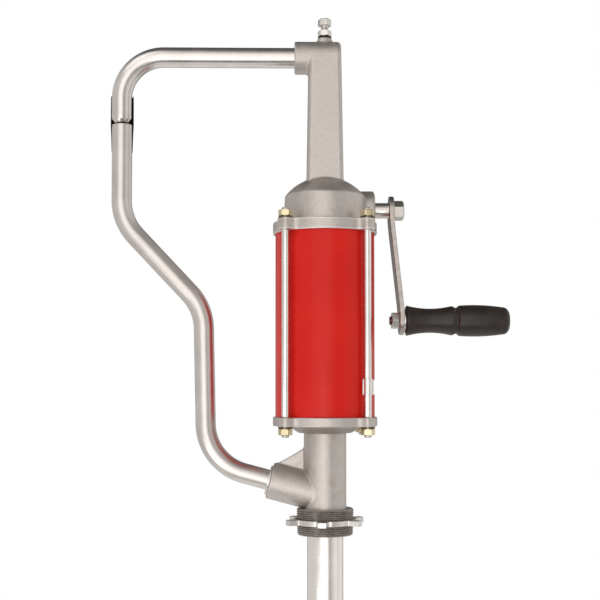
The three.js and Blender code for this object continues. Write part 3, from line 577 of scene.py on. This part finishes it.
def base_field(x, y, z):
    r = np.hypot(x, y)
    middle, half = (BASE_LOW + BASE_HIGH) / 2, (BASE_HIGH - BASE_LOW) / 2
    flange = thick(flange_plan(x, y), z - middle, half, 0.9)
    flare = np.interp(z, [95.0, 95.6, BASE_LOW], [22.3, 28.2, 39]).astype(np.float32)
    neck = np.maximum(r - flare, np.maximum(-8.5 - z, z - 105))
    t, s = along_axis(x, y, z, MOUTH, INWARD)
    boss = np.maximum(thick(s - 19.15, t - 29, 29, 2.2), 16.9 - z)
    line_low = (z - 64.6) * 0.898 - (x + 47.6) * 0.440
    line_high = (z - 71.2) * 0.827 - (x + 34.2) * 0.562
    rim = fillet_union(line_low, line_high, 3.0)
    web = thick(rim, y, 2.5, 0.9)
    web = np.maximum(web, np.maximum(np.maximum(-50 - x, x + 14), 40 - z))
    body = fillet_union(neck, boss, 1.3)
    body = fillet_union(body, web, 2.4)
    mark = np.abs(np.hypot(x + 27.5, z - 62.5) - 1.9) - 0.3
    body = fillet_union(body, np.maximum(mark, np.maximum(y + 2.2, -2.85 - y)), 0.4)
    body = fillet_union(body, flange, 1.6)
    body = bored(body, x, y, z, MOUTH, INWARD, 13.3, -3, 16.9)
    body = bored(body, x, y, z, MOUTH, INWARD, 11.0, 16, 24.4)
    body = bored(body, x, y, z, MOUTH, INWARD, 8.0, 24, 43)
    body = bored(body, x, y, z, (0, 0, 0), (0, 0, 1), 20.8, -12, 58)
    body = bored(body, x, y, z, (0, 0, 0), (0, 0, 1), 19.15, 57, 84)
    body = bored(body, x, y, z, (0, 0, 0), (0, 0, 1), 16.0, 83, 116)
    groove = np.maximum(np.abs(r - (BORE + CYLINDER_RADIUS) / 2) - 0.95, 108.2 - z)
    return np.maximum(np.maximum(body, -groove), -rod_holes(x, y))


def arm_field(x, y, z):
    """The cranked flat bar: upright at both eyes, leaning outwards between them."""
    t = np.clip(z, GRIP_Z, SHAFT_Z)
    plan = np.hypot(y - SHAFT_Y, z - t) - 15.35
    lean = np.interp(z, [222, 232, 312, 324], [80.4, 79.5, 70.7, 69.7]).astype(np.float32)
    bar = thick(plan, x - lean - 2.5, 2.5, 0.55)
    square = np.maximum(np.abs(y - SHAFT_Y), np.abs(z - SHAFT_Z)) - 6.15
    bolt = np.hypot(y - SHAFT_Y, z - GRIP_Z) - 5.2
    return np.maximum(bar, -np.minimum(square, bolt))


def ring_field(x, y, z):
    """The lock ring: six flat lugs on a ring, with a threaded bore."""
    r = np.hypot(x, y)
    span = math.pi / 3
    angle = (np.arctan2(y, x) + math.pi / 2 + math.radians(6.5) + span / 2) % span - span / 2
    side, out = r * np.sin(angle), r * np.cos(angle)
    lug = np.maximum(np.abs(side) * 0.985 - (5.6 - np.clip(out - 32, 0, 12) * 0.12), r - 43.6)
    notch = np.hypot(np.abs(side) - 7.4, out - 34.2) - 2.3
    plan = less(fillet_union(r - 33.0, lug, 1.0), notch, 0.6)
    body = thick(plan, z - 2.95, 2.9, 0.6)
    twist = (z / BUNG_PITCH - np.arctan2(y, x) / (2 * math.pi)) % 1.0
    return less(body, r - 30.3 - 0.35 * np.abs(twist - 0.5), 0.6)


def clip_field(x, y, z):
    """A spring clip on the front right tie rod, with a folded tab that points outwards."""
    dx, dy = x - ROD_OFFSET, y + ROD_OFFSET
    r = np.hypot(dx, dy)
    loop = np.abs(r - 4.72) - 0.55
    loop = np.maximum(loop, -np.maximum(np.abs(dx * 0.5 - dy * 0.866) - 2.4, dx * 0.866 + dy * 0.5))
    tab = np.maximum(np.abs(dy - 1.4) - 0.55, np.maximum(4.4 - dx, dx - 12.6))
    tab = np.maximum(tab, np.abs(z - 143) - 7.4)
    plan = fillet_union(loop, tab, 1.0)
    return thick(plan, z - 143.5, 8.4, 0.35)


def surface(field, low, high, step):
    """A closed quad mesh of the field's zero surface, with points on it and its exact normals."""
    low, high = np.array(low, float), np.array(high, float)
    counts = np.ceil((high - low) / step).astype(int) + 1
    axes = [(low[k] + step * np.arange(counts[k])).astype(np.float32) for k in range(3)]
    slabs = []
    for start in range(0, counts[0], 24):
        grid = np.meshgrid(axes[0][start:start + 24], axes[1], axes[2], indexing="ij")
        slabs.append(field(*grid).astype(np.float32))
    d = np.concatenate(slabs)
    inside = d < 0
    corners = [(a, b, c) for a in (0, 1) for b in (0, 1) for c in (0, 1)]
    cut = lambda g, a, b, c: g[a:counts[0] - 1 + a, b:counts[1] - 1 + b, c:counts[2] - 1 + c]
    total = sum(cut(inside, *c).astype(np.int8) for c in corners)
    cells = np.argwhere((total > 0) & (total < 8))
    index = np.full(tuple(counts - 1), -1, np.int32)
    index[tuple(cells.T)] = np.arange(len(cells))
    values = np.stack([d[tuple((cells + c).T)] for c in corners], -1)
    place, hits = np.zeros((len(cells), 3)), np.zeros(len(cells))
    for p, a in enumerate(corners):
        for q, b in enumerate(corners):
            if q <= p or sum(abs(i - j) for i, j in zip(a, b)) != 1:
                continue
            crossing = (values[:, p] < 0) != (values[:, q] < 0)
            gap = np.where(crossing, values[:, p] - values[:, q], 1)
            t = np.where(crossing, values[:, p] / gap, 0)
            point = np.array(a) + t[:, None] * (np.array(b) - np.array(a))
            place += np.where(crossing[:, None], point, 0)
            hits += crossing
    verts = low + (cells + place / hits[:, None]) * step
    quads = []
    for axis in range(3):
        u, v = (axis + 1) % 3, (axis + 2) % 3
        ahead = np.roll(inside, -1, axis)
        flips = np.argwhere(inside != ahead)
        flips = flips[(flips[:, axis] < counts[axis] - 1) & (flips[:, u] > 0) & (flips[:, v] > 0)]
        flips = flips[(flips[:, u] < counts[u] - 1) & (flips[:, v] < counts[v] - 1)]
        around = []
        for du, dv in ((0, 0), (-1, 0), (-1, -1), (0, -1)):
            shift = np.zeros(3, int)
            shift[u], shift[v] = du, dv
            around.append(index[tuple((flips + shift).T)])
        quad = np.stack(around, -1)
        out = inside[tuple(flips.T)]
        quads.append(np.where(out[:, None], quad, quad[:, ::-1]))
    quads = np.concatenate(quads)

    def gradient(p):
        h = step * 0.2
        parts = []
        for k in range(3):
            shift = np.zeros(3)
            shift[k] = h
            parts.append(field(*(p + shift).T) - field(*(p - shift).T))
        return np.stack(parts, -1) / (2 * h)

    for _ in range(3):
        slope = gradient(verts)
        size = np.maximum((slope ** 2).sum(-1), 0.2)
        move = field(*verts.T)[:, None] * slope / size[:, None]
        verts = verts - np.clip(move, -step / 2, step / 2)
    normals = gradient(verts)
    normals /= np.maximum(np.linalg.norm(normals, axis=1), 1e-9)[:, None]
    return verts, quads, normals


def cast(name, field, low, high, step, slot, body, *nodes, finish=None):
    verts, quads, normals = surface(field, low, high, step * (1))
    return piece(name, verts, quads, slot, body, *nodes, normals=normals, finish=finish)


cast("base_casting_detail", base_field, (-64, -64, -10), (64, 64, 114), 0.9, "cast_aluminium",
     "pump_body", "base_casting")
cast("head_casting_detail", head_field, (-64, -64, 302), (64, 64, 517), 1.0, "cast_aluminium",
     "pump_body", "head_casting")
cast("crank_arm_detail", arm_field, (67, 3, 199), (88, 37, 352), 0.7, "machined_steel", "crank", "crank_arm")
cast("lock_ring_detail", ring_field, (-45, -45, -1), (45, 45, 7.5), 0.5, "bright_zinc",
     "lock_ring_body", "lock_ring", finish="ring_zinc")
cast("rod_clip_detail", clip_field, (34, -50, 134), (57, -34, 153), 0.35, "bright_zinc",
     "pump_body", "rod_clip")

# ---------------------------------------------------------------- bung, suction side and foot

piece("bung_adaptor_detail",
      *screw(30.15, -10.9, 16.6, [(-10.5, 16.0)], BUNG_PITCH, 1.25, bore=20.7, chamfer=1.4, sides=ROUND,
             lip=(22.6, -8.5), taper=1 / 32),
      "dark_iron", "pump_body", "bung_adaptor")
# the suction tubes wear the brightened plating: painted light
piece("suction_tube_detail", *lathe([
    (17.7, -432, 0.5), (19, -432, 0.6), (19, 84, 0.6), (17.7, 84, 0.5)]), "plated_tube",
      "pump_body", "suction_tube", finish="lit_pale_tube")
piece("suction_seal_detail", *lathe([
    (17.02, -440, 0.4), (21.4, -440, 1.2), (22, -436, 1.5), (22, -431.5, 0.6), (21.5, -430.5, 0.5),
    (21.5, -428.5, 0.5), (22, -427.5, 0.6), (22, -424, 1.0), (21, -422, 0.8), (19.12, -422), (19.12, -432),
    (17.02, -432)]), "black_rubber", "pump_body", "suction_seal")
piece("suction_tube_inner_detail", *lathe([
    (15.7, -462), (16.9, -462), (16.9, -30, 0.6), (15.7, -30, 0.5)]), "plated_tube",
      "suction_extension", "suction_tube_inner", finish="lit_pale_tube")
piece("foot_valve_body_detail", *lathe([
    (9, -468, 0.6), (17, -480, 0.4), (19.5, -480, 0.8), (20.5, -478, 0.8), (20.5, -473, 0.4),
    (19.9, -472.4, 0.3),
    (19.9, -470.6, 0.3), (20.5, -470, 0.4), (20.5, -458, 0.4), (19.9, -457.4, 0.3), (19.9, -455.6, 0.3),
    (20.5, -455, 0.4), (20.5, -450, 0.8), (19.5, -448, 0.8), (17.02, -448, 0.5), (17.02, -462),
    (9, -462, 0.4)]),
      "brass", "suction_extension", "foot_valve_body")
piece("foot_valve_disc_detail", *lathe([
    (0, -462), (12.6, -462, 0.3), (13, -461.2, 0.3), (13, -459.8, 0.4), (9, -459.8, 0.3), (8.6, -460.3, 0.2),
    (0, -460.3)]), "black_rubber", "foot_valve", "foot_valve_disc")


def strainer_field(x, y, z):
    r = np.hypot(x, y)
    outer = thick(r - 20.0, z + 489.9, 9.9, 2.2)
    shell = np.maximum(np.maximum(outer, -np.maximum(r - 18.4, -498.4 - z)), z + 480.05)
    angle = (np.arctan2(y, x)) % (math.pi / 4) - math.pi / 8
    slot_plan = np.hypot(r * np.sin(angle), np.maximum(np.abs(z + 489.8) - 4.2, 0)) - 2.1
    shell = less(shell, np.maximum(slot_plan, 12 - r), 0.5)
    ring = r - np.round(np.clip(r, 4, 15) / 5.5) * 5.5
    turn = (np.arctan2(y, x) * 6 / (2 * math.pi)) % 1.0 - 0.5
    hole = np.hypot(ring, turn * 2 * math.pi * r / 6) - 1.3
    return np.maximum(shell, -np.maximum(np.maximum(hole, r - 15.5), z + 495))


cast("foot_strainer_detail", strainer_field, (-22, -22, -501.5), (22, 22, -478.5), 0.55, "plated_tube",
     "suction_extension", "foot_strainer")

# ---------------------------------------------------------------- cylinder, rods and nuts

piece("cylinder_detail", *lathe([
    (BORE, 109.2), (CYLINDER_RADIUS, 109.2, 0.3), (CYLINDER_RADIUS, 307.4, 0.3), (BORE, 307.4)],
    sides=2 * ROUND), "red_paint", "pump_body", "cylinder")
for name, low in (("base_gasket", 108.2), ("head_gasket", 307.4)):
    piece(f"{name}_detail", *lathe([
        (BORE, low), (CYLINDER_RADIUS, low, 0.2), (CYLINDER_RADIUS, low + 1, 0.2), (BORE, low + 1)]),
          "black_rubber", "pump_body", name)

ROD_LOW = BASE_LOW - WASHER - NUT_HEIGHT - 2.6
ROD_HIGH = HEAD_HIGH + WASHER + NUT_HEIGHT + 2.6
ROD_THREADS = [(ROD_LOW + 0.2, 107), (310, ROD_HIGH - 0.2)]
ROD_SHAPE = screw(3.98, ROD_LOW, ROD_HIGH, ROD_THREADS, 1.25, 0.62, sides=FINE)
NUT_SHAPE = hexagon(NUT_FLATS, NUT_HEIGHT, bore=4.12)


def toothed_washer():
    """An external-tooth lock washer: twelve full-height teeth whose sides lean the same way."""
    teeth = 12

    def profile_at(angle):
        phase = angle * teeth / (2 * math.pi) % 1.0
        out = 7.3 if phase < 0.5 else 5.3
        return [(4.4, 0.3), (5.2, 0.3), (out, 0.06), (out, 1.74), (5.2, 1.5), (4.4, 1.5)]

    shares = (0.0, 0.25, 0.499, 0.5, 0.75, 0.999)
    angles = np.array([k + share for k in range(teeth) for share in shares]) * 2 * math.pi / teeth
    verts, faces = polar(profile_at, angles)
    lean = np.where(np.hypot(verts[:, 0], verts[:, 1]) > 5.21, (verts[:, 2] - 0.9) * 0.13, 0)
    c, s = np.cos(lean), np.sin(lean)
    x, y, z = verts.T
    return np.stack([x * c - y * s, x * s + y * c, z], -1), faces


WASHER_SHAPE = toothed_washer()
NUT_TURNS = [(27, 20), (37, 27), (48, 17), (15, 33)]  # how each top and bottom nut happened to end its turn
for number, ((x, y), (top_turn, bottom_turn)) in enumerate(zip(ROD_PLACES, NUT_TURNS), 1):
    piece(f"tie_rod_{number}_detail", ROD_SHAPE[0] + (x, y, 0), ROD_SHAPE[1], "bright_zinc",
          "pump_body", f"tie_rod_{number}", sharp=50)
    for end, turn, nut_low, washer_low in (
        ("top", top_turn, HEAD_HIGH + WASHER, HEAD_HIGH),
        ("bottom", bottom_turn, BASE_LOW - WASHER - NUT_HEIGHT, BASE_LOW - WASHER),
    ):
        piece(f"{end}_nut_{number}_detail", placed(NUT_SHAPE[0], (x, y, nut_low), turn=turn), NUT_SHAPE[1],
              "yellow_zinc", "pump_body", f"{end}_nut_{number}", sharp=18)
        # the washers wear the darkened zinc: painted shade in the gap under each nut
        piece(f"{end}_washer_{number}_detail", placed(WASHER_SHAPE[0], (x, y, washer_low), turn=7 * number),
              WASHER_SHAPE[1], "yellow_zinc", "pump_body", f"{end}_washer_{number}", sharp=18,
              finish="shaded_washer_zinc")

# ---------------------------------------------------------------- shaft, crank bolt and grip

AXLE = ((0, SHAFT_Y, SHAFT_Z), (1, 0, 0))
GRIP_AXIS = ((0, SHAFT_Y, GRIP_Z), (1, 0, 0))


def on(axis, shape, turn=0.0, start=0.0):
    """A shape made about Z stood on one of the two cross axes, shifted along it."""
    origin = (axis[0][0] + start, *axis[0][1:])
    return placed(shape[0], origin, axis[1], turn), shape[1]


shaft = lathe([
    (0, -27.5), (8.5, -27.5, 1.0), (8.5, 53.0, 0.2), (8.3, 53.3), (8.3, 69.2), (8.5, 69.7, 0.3),
    (0, 69.7)], FINE)
square_end = placed([(a * 6, b * 6, c) for c in (69.6, 74.4)
                     for a, b in ((-1, -1), (1, -1), (1, 1), (-1, 1))])
tang = (square_end, [(3, 2, 1, 0), (4, 5, 6, 7), (0, 1, 5, 4), (1, 2, 6, 5), (2, 3, 7, 6), (3, 0, 4, 7)])
piece("pinion_shaft_detail", *on(AXLE, both(shaft, tang)), "machined_steel", "crank", "pinion_shaft",
      finish="ground_steel")
piece("shaft_seal_detail", *on(AXLE, lathe([
    (8.8, 48.6), (13.2, 48.6), (13.2, 53.4, 0.3), (11.2, 53.4, 0.3), (10.6, 52.6, 0.3), (9.6, 52.8, 0.3),
    (8.8, 53.3, 0.2)], FINE)), "black_rubber", "pump_body", "shaft_seal")
for name, low, high in (("shaft_bush_inner", -27.5, -13), ("shaft_bush_outer", 14, 48)):
    piece(f"{name}_detail", *on(AXLE, lathe([
        (8.8, low, 0.4), (11.6, low, 0.4), (11.6, high, 0.4), (8.8, high, 0.4)], FINE)), "brass",
          "pump_body", name)


def bolt_head(flats, height, dome):
    """A hexagon head whose end is turned to a shallow dome."""
    per_side = 8
    land = flats / 2 - 0.7

    def profile_at(angle):
        within = (angle + math.pi / 6) % (math.pi / 3) - math.pi / 6
        reach = min(flats / 2 / math.cos(within), flats / math.sqrt(3) - 0.15)
        drop = (reach - land) * math.tan(math.radians(34)) + 0.1
        return [(0, 0), (reach - 0.15, 0), (reach, 0.15), (reach, height - drop - dome * 0.35),
                (land, height - dome * 0.35), (land * 0.82, height - dome * 0.12), (land * 0.5, height),
                (0, height)]

    return polar(profile_at, circle(6 * per_side))


crank_shank = lathe([(0, 50), (4.95, 50, 0.5), (4.95, 75.5), (0, 75.5)], FINE)
piece("crank_bolt_detail", *both(on(AXLE, bolt_head(19, 11.5, 1.6), 46, 74.7), on(AXLE, crank_shank)),
      "machined_steel", "crank", "crank_bolt", sharp=16)

# distances along the grip from its inner end, with the radius there
GRIP_START = 87.6
RIM_AT, RIM = 1.4, 16.2
WAIST_AT, WAIST = 26, 13.0
COLLAR_AT, COLLAR_END, COLLAR = 48.4, 49.4, 15.7
GROOVE_AT, GROOVE = 54, 14.0
SHOULDER_AT = 58
BELLY_AT, BELLY, BELLY_CURVE = 73, 17.0, 0.0023
TIP_AT, TIP_RADIUS, TIP_SLOPE = 105.7, 6.0, math.radians(60)
GRIP_END_AT, GRIP_END = 111.1, 9.7


def grip_outline(spacing):
    """The grip's outside as (h, r): rolled rim, hollow waist, collar, groove, long belly, rounded tip."""
    def hollow(h, end_at, end):
        return WAIST + (end - WAIST) * ((h - WAIST_AT) / (end_at - WAIST_AT)) ** 2

    def wave(h, start_at, start, end_at, end):
        return start + (end - start) * (1 - np.cos(math.pi * (h - start_at) / (end_at - start_at))) / 2

    def belly(h):
        return BELLY - BELLY_CURVE * (h - BELLY_AT) ** 2

    rolled = np.linspace(0, math.pi / 2, 4)[:-1]
    lean = math.atan(2 * BELLY_CURVE * (TIP_AT - BELLY_AT))
    rounded = np.linspace(lean, TIP_SLOPE, 8)
    stretches = [(RIM_AT * (1 - np.cos(rolled)), RIM - 1.3 + 1.3 * np.sin(rolled))]
    for start, end, step, radius_at in (
        (RIM_AT, WAIST_AT, 2, lambda h: hollow(h, RIM_AT, RIM)),
        (WAIST_AT, COLLAR_AT, 2, lambda h: hollow(h, COLLAR_AT, COLLAR)),
        (COLLAR_END, GROOVE_AT, 0.6, lambda h: wave(h, COLLAR_END, COLLAR, GROOVE_AT, GROOVE)),
        (GROOVE_AT, SHOULDER_AT, 0.5, lambda h: wave(h, GROOVE_AT, GROOVE, SHOULDER_AT, belly(SHOULDER_AT))),
        (SHOULDER_AT, TIP_AT, 2.5, belly),
    ):
        along = np.arange(start, end, step * spacing)
        stretches.append((along, radius_at(along)))
    stretches.append((TIP_AT + TIP_RADIUS * (np.sin(rounded) - math.sin(lean)),
                      belly(TIP_AT) + TIP_RADIUS * (np.cos(rounded) - math.cos(lean))))
    stretches.append(([GRIP_END_AT], [GRIP_END]))
    return np.concatenate([np.stack(stretch, -1) for stretch in stretches])


grip_outside = [(r, GRIP_START + h) for h, r in grip_outline(1)]
grip_shape = lathe([(5.7, GRIP_START), *grip_outside, (9.2, 198.4), (9.2, 187.2), (5.7, 187.2)], ROUND)
piece("grip_detail", *on(GRIP_AXIS, grip_shape), "black_grip", "grip_body", "grip", sharp=40)

grip_shank = screw(5.0, 70.2, 188.2, [(70.4, 80)], 1.5, 0.75, chamfer=0.7)
piece("grip_bolt_detail", *both(on(GRIP_AXIS, grip_shank), on(GRIP_AXIS, bolt_head(14, 6, 0.8), 0, 187.2)),
      "machined_steel", "crank", "grip_bolt", sharp=30, finish="oiled_steel")
piece("grip_nut_detail", *on(GRIP_AXIS, hexagon(17, 8, bore=5.12), 0, 72.4), "bright_zinc",
      "crank", "grip_nut", sharp=16)
piece("grip_washer_detail", *on(GRIP_AXIS, lathe([
    (5.2, 85.42, 0.2), (10.5, 85.42, 0.4), (10.5, 87.38, 0.4), (5.2, 87.38, 0.2)], FINE)), "bright_zinc",
      "crank", "grip_washer")

# ---------------------------------------------------------------- spout, return tube and catch

nozzle = [(9.0, TUBE_RADIUS, 8.85), (5.6, TUBE_RADIUS, 8.8), (4.4, 10.35, 8.3), (3.0, 9.6, 7.4),
          (1.4, 8.5, 6.6),
          (0.4, 7.8, 6.25), (0.0, 7.5, 6.4)]
spout_path = [(-16, SPOUT_Z), (SPOUT_X, SPOUT_Z), (SPOUT_X, 422.8)]
piece("spout_tube_detail", *tube(spout_path, 44.5, TUBE_RADIUS, TUBE_WALL, end=nozzle), "plated_tube",
      "pump_body", "spout_tube")
tail = MOUTH + INWARD * 24
leg_top, leg_foot = -128.2, -124.6
turn_z = MOUTH[2] + (MOUTH[0] - leg_foot) * math.tan(TILT)
rim = [(0.0, 10.35, 9.15), (0.3, 10.65, 8.85), (2.0, 10.65, 8.85)]
return_path = [(RETURN_X, 421), (RETURN_X, 319), (leg_top, 226.6), (leg_foot, turn_z), (tail[0], tail[2])]
piece("return_tube_detail", *tube(return_path, 55, TUBE_RADIUS, TUBE_WALL, start=rim), "plated_tube",
      "return_pipe", "return_tube", finish="satin_tube")
bush = lathe([
    (10.9, -1.9, 0.3), (14.9, -1.9, 0.5), (15.25, -1.2, 0.3), (15.25, -0.1, 0.2), (13, -0.1), (13, 13, 0.4),
    (10.9, 13)], ROUND)
piece("return_tube_bush_detail", placed(bush[0], MOUTH, INWARD), bush[1], "bright_zinc",
      "pump_body", "return_tube_bush")
seal = lathe([(10.9, 13.3, 0.8), (13.3, 13.3, 0.8), (13.3, 16.6, 0.8), (10.9, 16.6, 0.8)], FINE)
piece("return_tube_seal_detail", placed(seal[0], MOUTH, INWARD), seal[1], "black_rubber",
      "pump_body", "return_tube_seal")


def half_sleeve():
    """The catch: a sheet half round the return tube's back that flares past the spout's tip."""
    heights = [392, 392.3, 400, 406, 412, 417, 419, 421, 423, 430, 440, 448, 451.7, 452]
    inner = np.interp(heights, [416, 422], [10.95, 11.45])
    outer = np.interp(heights, [392, 406, 421, 440, 452], [11.1, 11.5, 12.2, 12.1, 12.0])
    profile = [*zip(outer, heights), *list(zip(inner, heights))[::-1]]
    angles = np.linspace(0.0, math.pi, FINE)
    size = len(profile)
    verts = np.array([(r * math.cos(a), r * math.sin(a), h) for a in angles for r, h in profile])
    faces = [(i * size + j, (i + 1) * size + j, (i + 1) * size + (j + 1) % size, i * size + (j + 1) % size)
             for i in range(len(angles) - 1) for j in range(size)]
    half = size // 2
    for base in (0, (len(angles) - 1) * size):
        faces += [(base + j, base + j + 1, base + size - 2 - j, base + size - 1 - j) for j in range(half - 1)]
    return verts + (RETURN_X, 0, 0), faces


piece("nozzle_catch_detail", *half_sleeve(), "black_rubber", "return_pipe", "nozzle_catch", sharp=50)

# ---------------------------------------------------------------- stroke stop

STOP_PAD, STOP_SEAL, STOP_LOCKNUT, STOP_HEAD = 514.9, 2.2, 6.2, 528.6
stop_head = bolt_head(13, 7.3, 0.5)
stop_shank = screw(4.0, 469.5, STOP_HEAD + 1, [(470, STOP_HEAD - 1.5)], 1.25, 0.45, chamfer=0.6)
piece("stop_screw_detail", *both((placed(stop_head[0], (0, 0, STOP_HEAD), turn=12), stop_head[1]), stop_shank),
      "bright_zinc", "pump_body", "stop_screw", sharp=30, finish="dull_zinc")
locknut = hexagon(NUT_FLATS, STOP_LOCKNUT, bore=4.12)
seal_top = STOP_PAD + STOP_SEAL
piece("stop_screw_locknut_detail", placed(locknut[0], (0, 0, seal_top), turn=22), locknut[1], "bright_zinc",
      "pump_body", "stop_screw_locknut", sharp=16, finish="dull_zinc")
piece("stop_screw_seal_detail", *lathe([
    (4.4, STOP_PAD), (6.7, STOP_PAD, 0.3), (7.3, STOP_PAD + 0.7, 0.4), (7.3, STOP_PAD + 1.5, 0.4),
    (6.7, seal_top, 0.3), (4.4, seal_top)], FINE), "black_rubber", "pump_body", "stop_screw_seal")

# ---------------------------------------------------------------- inside pieces that keep their CAD shape

slot_of = {part["node"]: part["material_slot"] for part in frame["record"]["subparts"]}
for name, node in frame["nodes"].items():
    if not node.hide_render:
        node.data.materials.clear()
        node.data.materials.append(FINISHES[slot_of[name]])

# ---------------------------------------------------------------- studio

scene = bpy.context.scene
LEVEL_UNIT = 1.4  # the world's strength, which every light level is a share of
# light levels: degrees up and over from the camera's side, with the level there
OVERHEAD = [
    (-180, 0.30), (-150, 0.70), (-128, 0.90), (-96, 0.78), (-68, 0.20), (-50, 0.24), (-38, 0.95),
    (-28, 1.50), (-12, 1.56), (4, 1.50), (26, 1.30), (40, 0.88), (54, 0.46), (70, 0.24), (86, 0.13),
    (119, 0.10), (150, 0.12), (169, 0.18), (180, 0.30)]
SIDES = [  # from the far left, 0, to the far right, 1
    (0.0, 0.93), (0.3, 0.93), (0.42, 0.70), (0.56, 0.40), (0.72, 0.46), (0.86, 0.98), (0.965, 1.28), (1.0, 1.0)]
FRONT_SHIFT = 0.12  # how far to the left the bright front is centred, as the x of its direction
UPRIGHT = [(0.0, 1.2), (0.3, 0.95), (0.5, 1.0), (0.75, 1.0), (1.0, 0.5)]
FLOOR_RADIUS = 0.55
FLOOR_Z = -0.875  # below the foot valve with the suction tube run out


def floor():
    mesh = bpy.data.meshes.new("floor")
    angles = circle(96)
    rim = [(FLOOR_RADIUS * math.cos(a), FLOOR_RADIUS * math.sin(a), FLOOR_Z) for a in angles]
    mesh.from_pydata(rim, [], [tuple(range(len(rim)))])
    thing = bpy.data.objects.new("floor", mesh)
    scene.collection.objects.link(thing)
    n = Nodes("floor_paper")
    colour = n.mixed(n.spread(n.noise(240, 3), 0.4, 0.6, 0, 1), (0.93, 0.93, 0.925), (0.955, 0.955, 0.95))
    paper = n.finish(colour, 0.85, n.bump(n.noise(3, 2), 0.05), metallic=0.0, Emission_Strength=0.42)
    n.shader.inputs["Emission Color"].default_value = (1, 1, 1, 1)
    mesh.materials.append(paper)


def studio_world():
    """White paper round the object, with darker gaps between the soft lights for the metal to reflect."""
    world = bpy.data.worlds.new("studio")
    scene.world = world
    world.use_nodes = True
    nodes, links = world.node_tree.nodes, world.node_tree.links
    nodes.clear()

    def put(socket, value):
        if isinstance(value, bpy.types.NodeSocket):
            links.new(value, socket)
        else:
            socket.default_value = value

    def calc(operation, *values):
        node = nodes.new("ShaderNodeMath")
        node.operation = operation
        for socket, value in zip(node.inputs, values):
            put(socket, value)
        return node.outputs["Value"]

    def levels(value, stops):
        """Brightness by place, each stop as (place from 0 to 1, brightness)."""
        node = nodes.new("ShaderNodeValToRGB")
        links.new(value, node.inputs["Fac"])
        points = node.color_ramp.elements
        while len(points) < len(stops):
            points.new(0.5)
        for point, (place, level) in zip(points, stops):
            point.position = place
            point.color = (*[level / LEVEL_UNIT] * 3, 1.0)
        return node.outputs["Color"]

    def blended(share, a, b, kind="MIX"):
        node = nodes.new("ShaderNodeMix")
        node.data_type = "RGBA"
        node.blend_type = kind
        put(node.inputs["Factor"], share)
        put(node.inputs["A"], a)
        put(node.inputs["B"], b)
        return node.outputs["Result"]

    split = nodes.new("ShaderNodeSeparateXYZ")
    links.new(nodes.new("ShaderNodeTexCoord").outputs["Generated"], split.inputs[0])
    x, y, z = split.outputs
    # the way up and over: 0.25 is straight down, 0.5 the camera's side, 0.75 straight up, 0 and 1 behind
    over = calc("ADD", calc("DIVIDE", calc("ARCTAN2", z, calc("MULTIPLY", y, -1.0)), 2 * math.pi), 0.5)
    front = levels(over, [(degrees / 360 + 0.5, level) for degrees, level in OVERHEAD])
    side = levels(calc("ADD", calc("MULTIPLY", x, 0.5), 0.5), SIDES)
    upright = levels(calc("ADD", calc("MULTIPLY", z, 0.5), 0.5), UPRIGHT)
    side = blended(1.0, side, upright, "MULTIPLY")
    edge = nodes.new("ShaderNodeMapRange")
    edge.interpolation_type = "SMOOTHSTEP"
    put(edge.inputs["Value"], calc("ABSOLUTE", calc("ADD", x, FRONT_SHIFT)))
    edge.inputs["From Min"].default_value, edge.inputs["From Max"].default_value = 0.22, 0.56
    light = blended(edge.outputs["Result"], front, side)
    light = blended(1.0, light, (1.0, 0.982, 0.965, 1.0), "MULTIPLY")
    lit = nodes.new("ShaderNodeBackground")
    put(lit.inputs["Color"], light)
    lit.inputs["Strength"].default_value = LEVEL_UNIT
    seen = nodes.new("ShaderNodeBackground")
    seen.inputs["Color"].default_value = (1, 1, 1, 1)
    pick = nodes.new("ShaderNodeMixShader")
    links.new(nodes.new("ShaderNodeLightPath").outputs["Is Camera Ray"], pick.inputs["Fac"])
    links.new(lit.outputs[0], pick.inputs[1])
    links.new(seen.outputs[0], pick.inputs[2])
    links.new(pick.outputs[0], nodes.new("ShaderNodeOutputWorld").inputs["Surface"])


def area_light(name, place, target, width, height, power):
    light = bpy.data.lights.new(name, "AREA")
    light.shape = "RECTANGLE"
    light.size, light.size_y = width, height
    light.energy = power
    thing = bpy.data.objects.new(name, light)
    thing.location = place
    thing.rotation_euler = (Vector(target) - Vector(place)).to_track_quat("-Z", "Y").to_euler()
    scene.collection.objects.link(thing)


floor()
studio_world()
area_light("low_softbox", (-0.16, -1.6, -0.42), (0, 0, -0.1), 0.24, 0.75, 1.0)
area_light("upper_left_softbox", (-0.9, -0.8, 1.75), (0, 0, 0.3), 1.1, 0.8, 2.8)
area_light("low_left_softbox", (-0.7, -0.75, -0.42), (0, 0, -0.2), 0.35, 0.4, 1.3)

# ---------------------------------------------------------------- camera

EYE = Vector((-0.0496, -1.2340, 0.1399))
PITCH, YAW = 2.43, 1.08  # degrees up and to the right
LENS, SHIFT_Y = 70.2, 0.068
camera_data = bpy.data.cameras.new("camera")
camera_data.lens = LENS
camera_data.sensor_width = 36.0
camera_data.shift_y = SHIFT_Y
camera_data.clip_start, camera_data.clip_end = 0.05, 60.0
camera = bpy.data.objects.new("camera", camera_data)
scene.collection.objects.link(camera)
camera.location = EYE
camera.rotation_euler = (math.radians(90 + PITCH), 0.0, math.radians(-YAW))
scene.camera = camera

scene.view_settings.view_transform = "Standard"
scene.view_settings.look = "None"
scene.view_settings.exposure = 0.0
scene.view_settings.gamma = 1.0

bpy.context.view_layer.update()
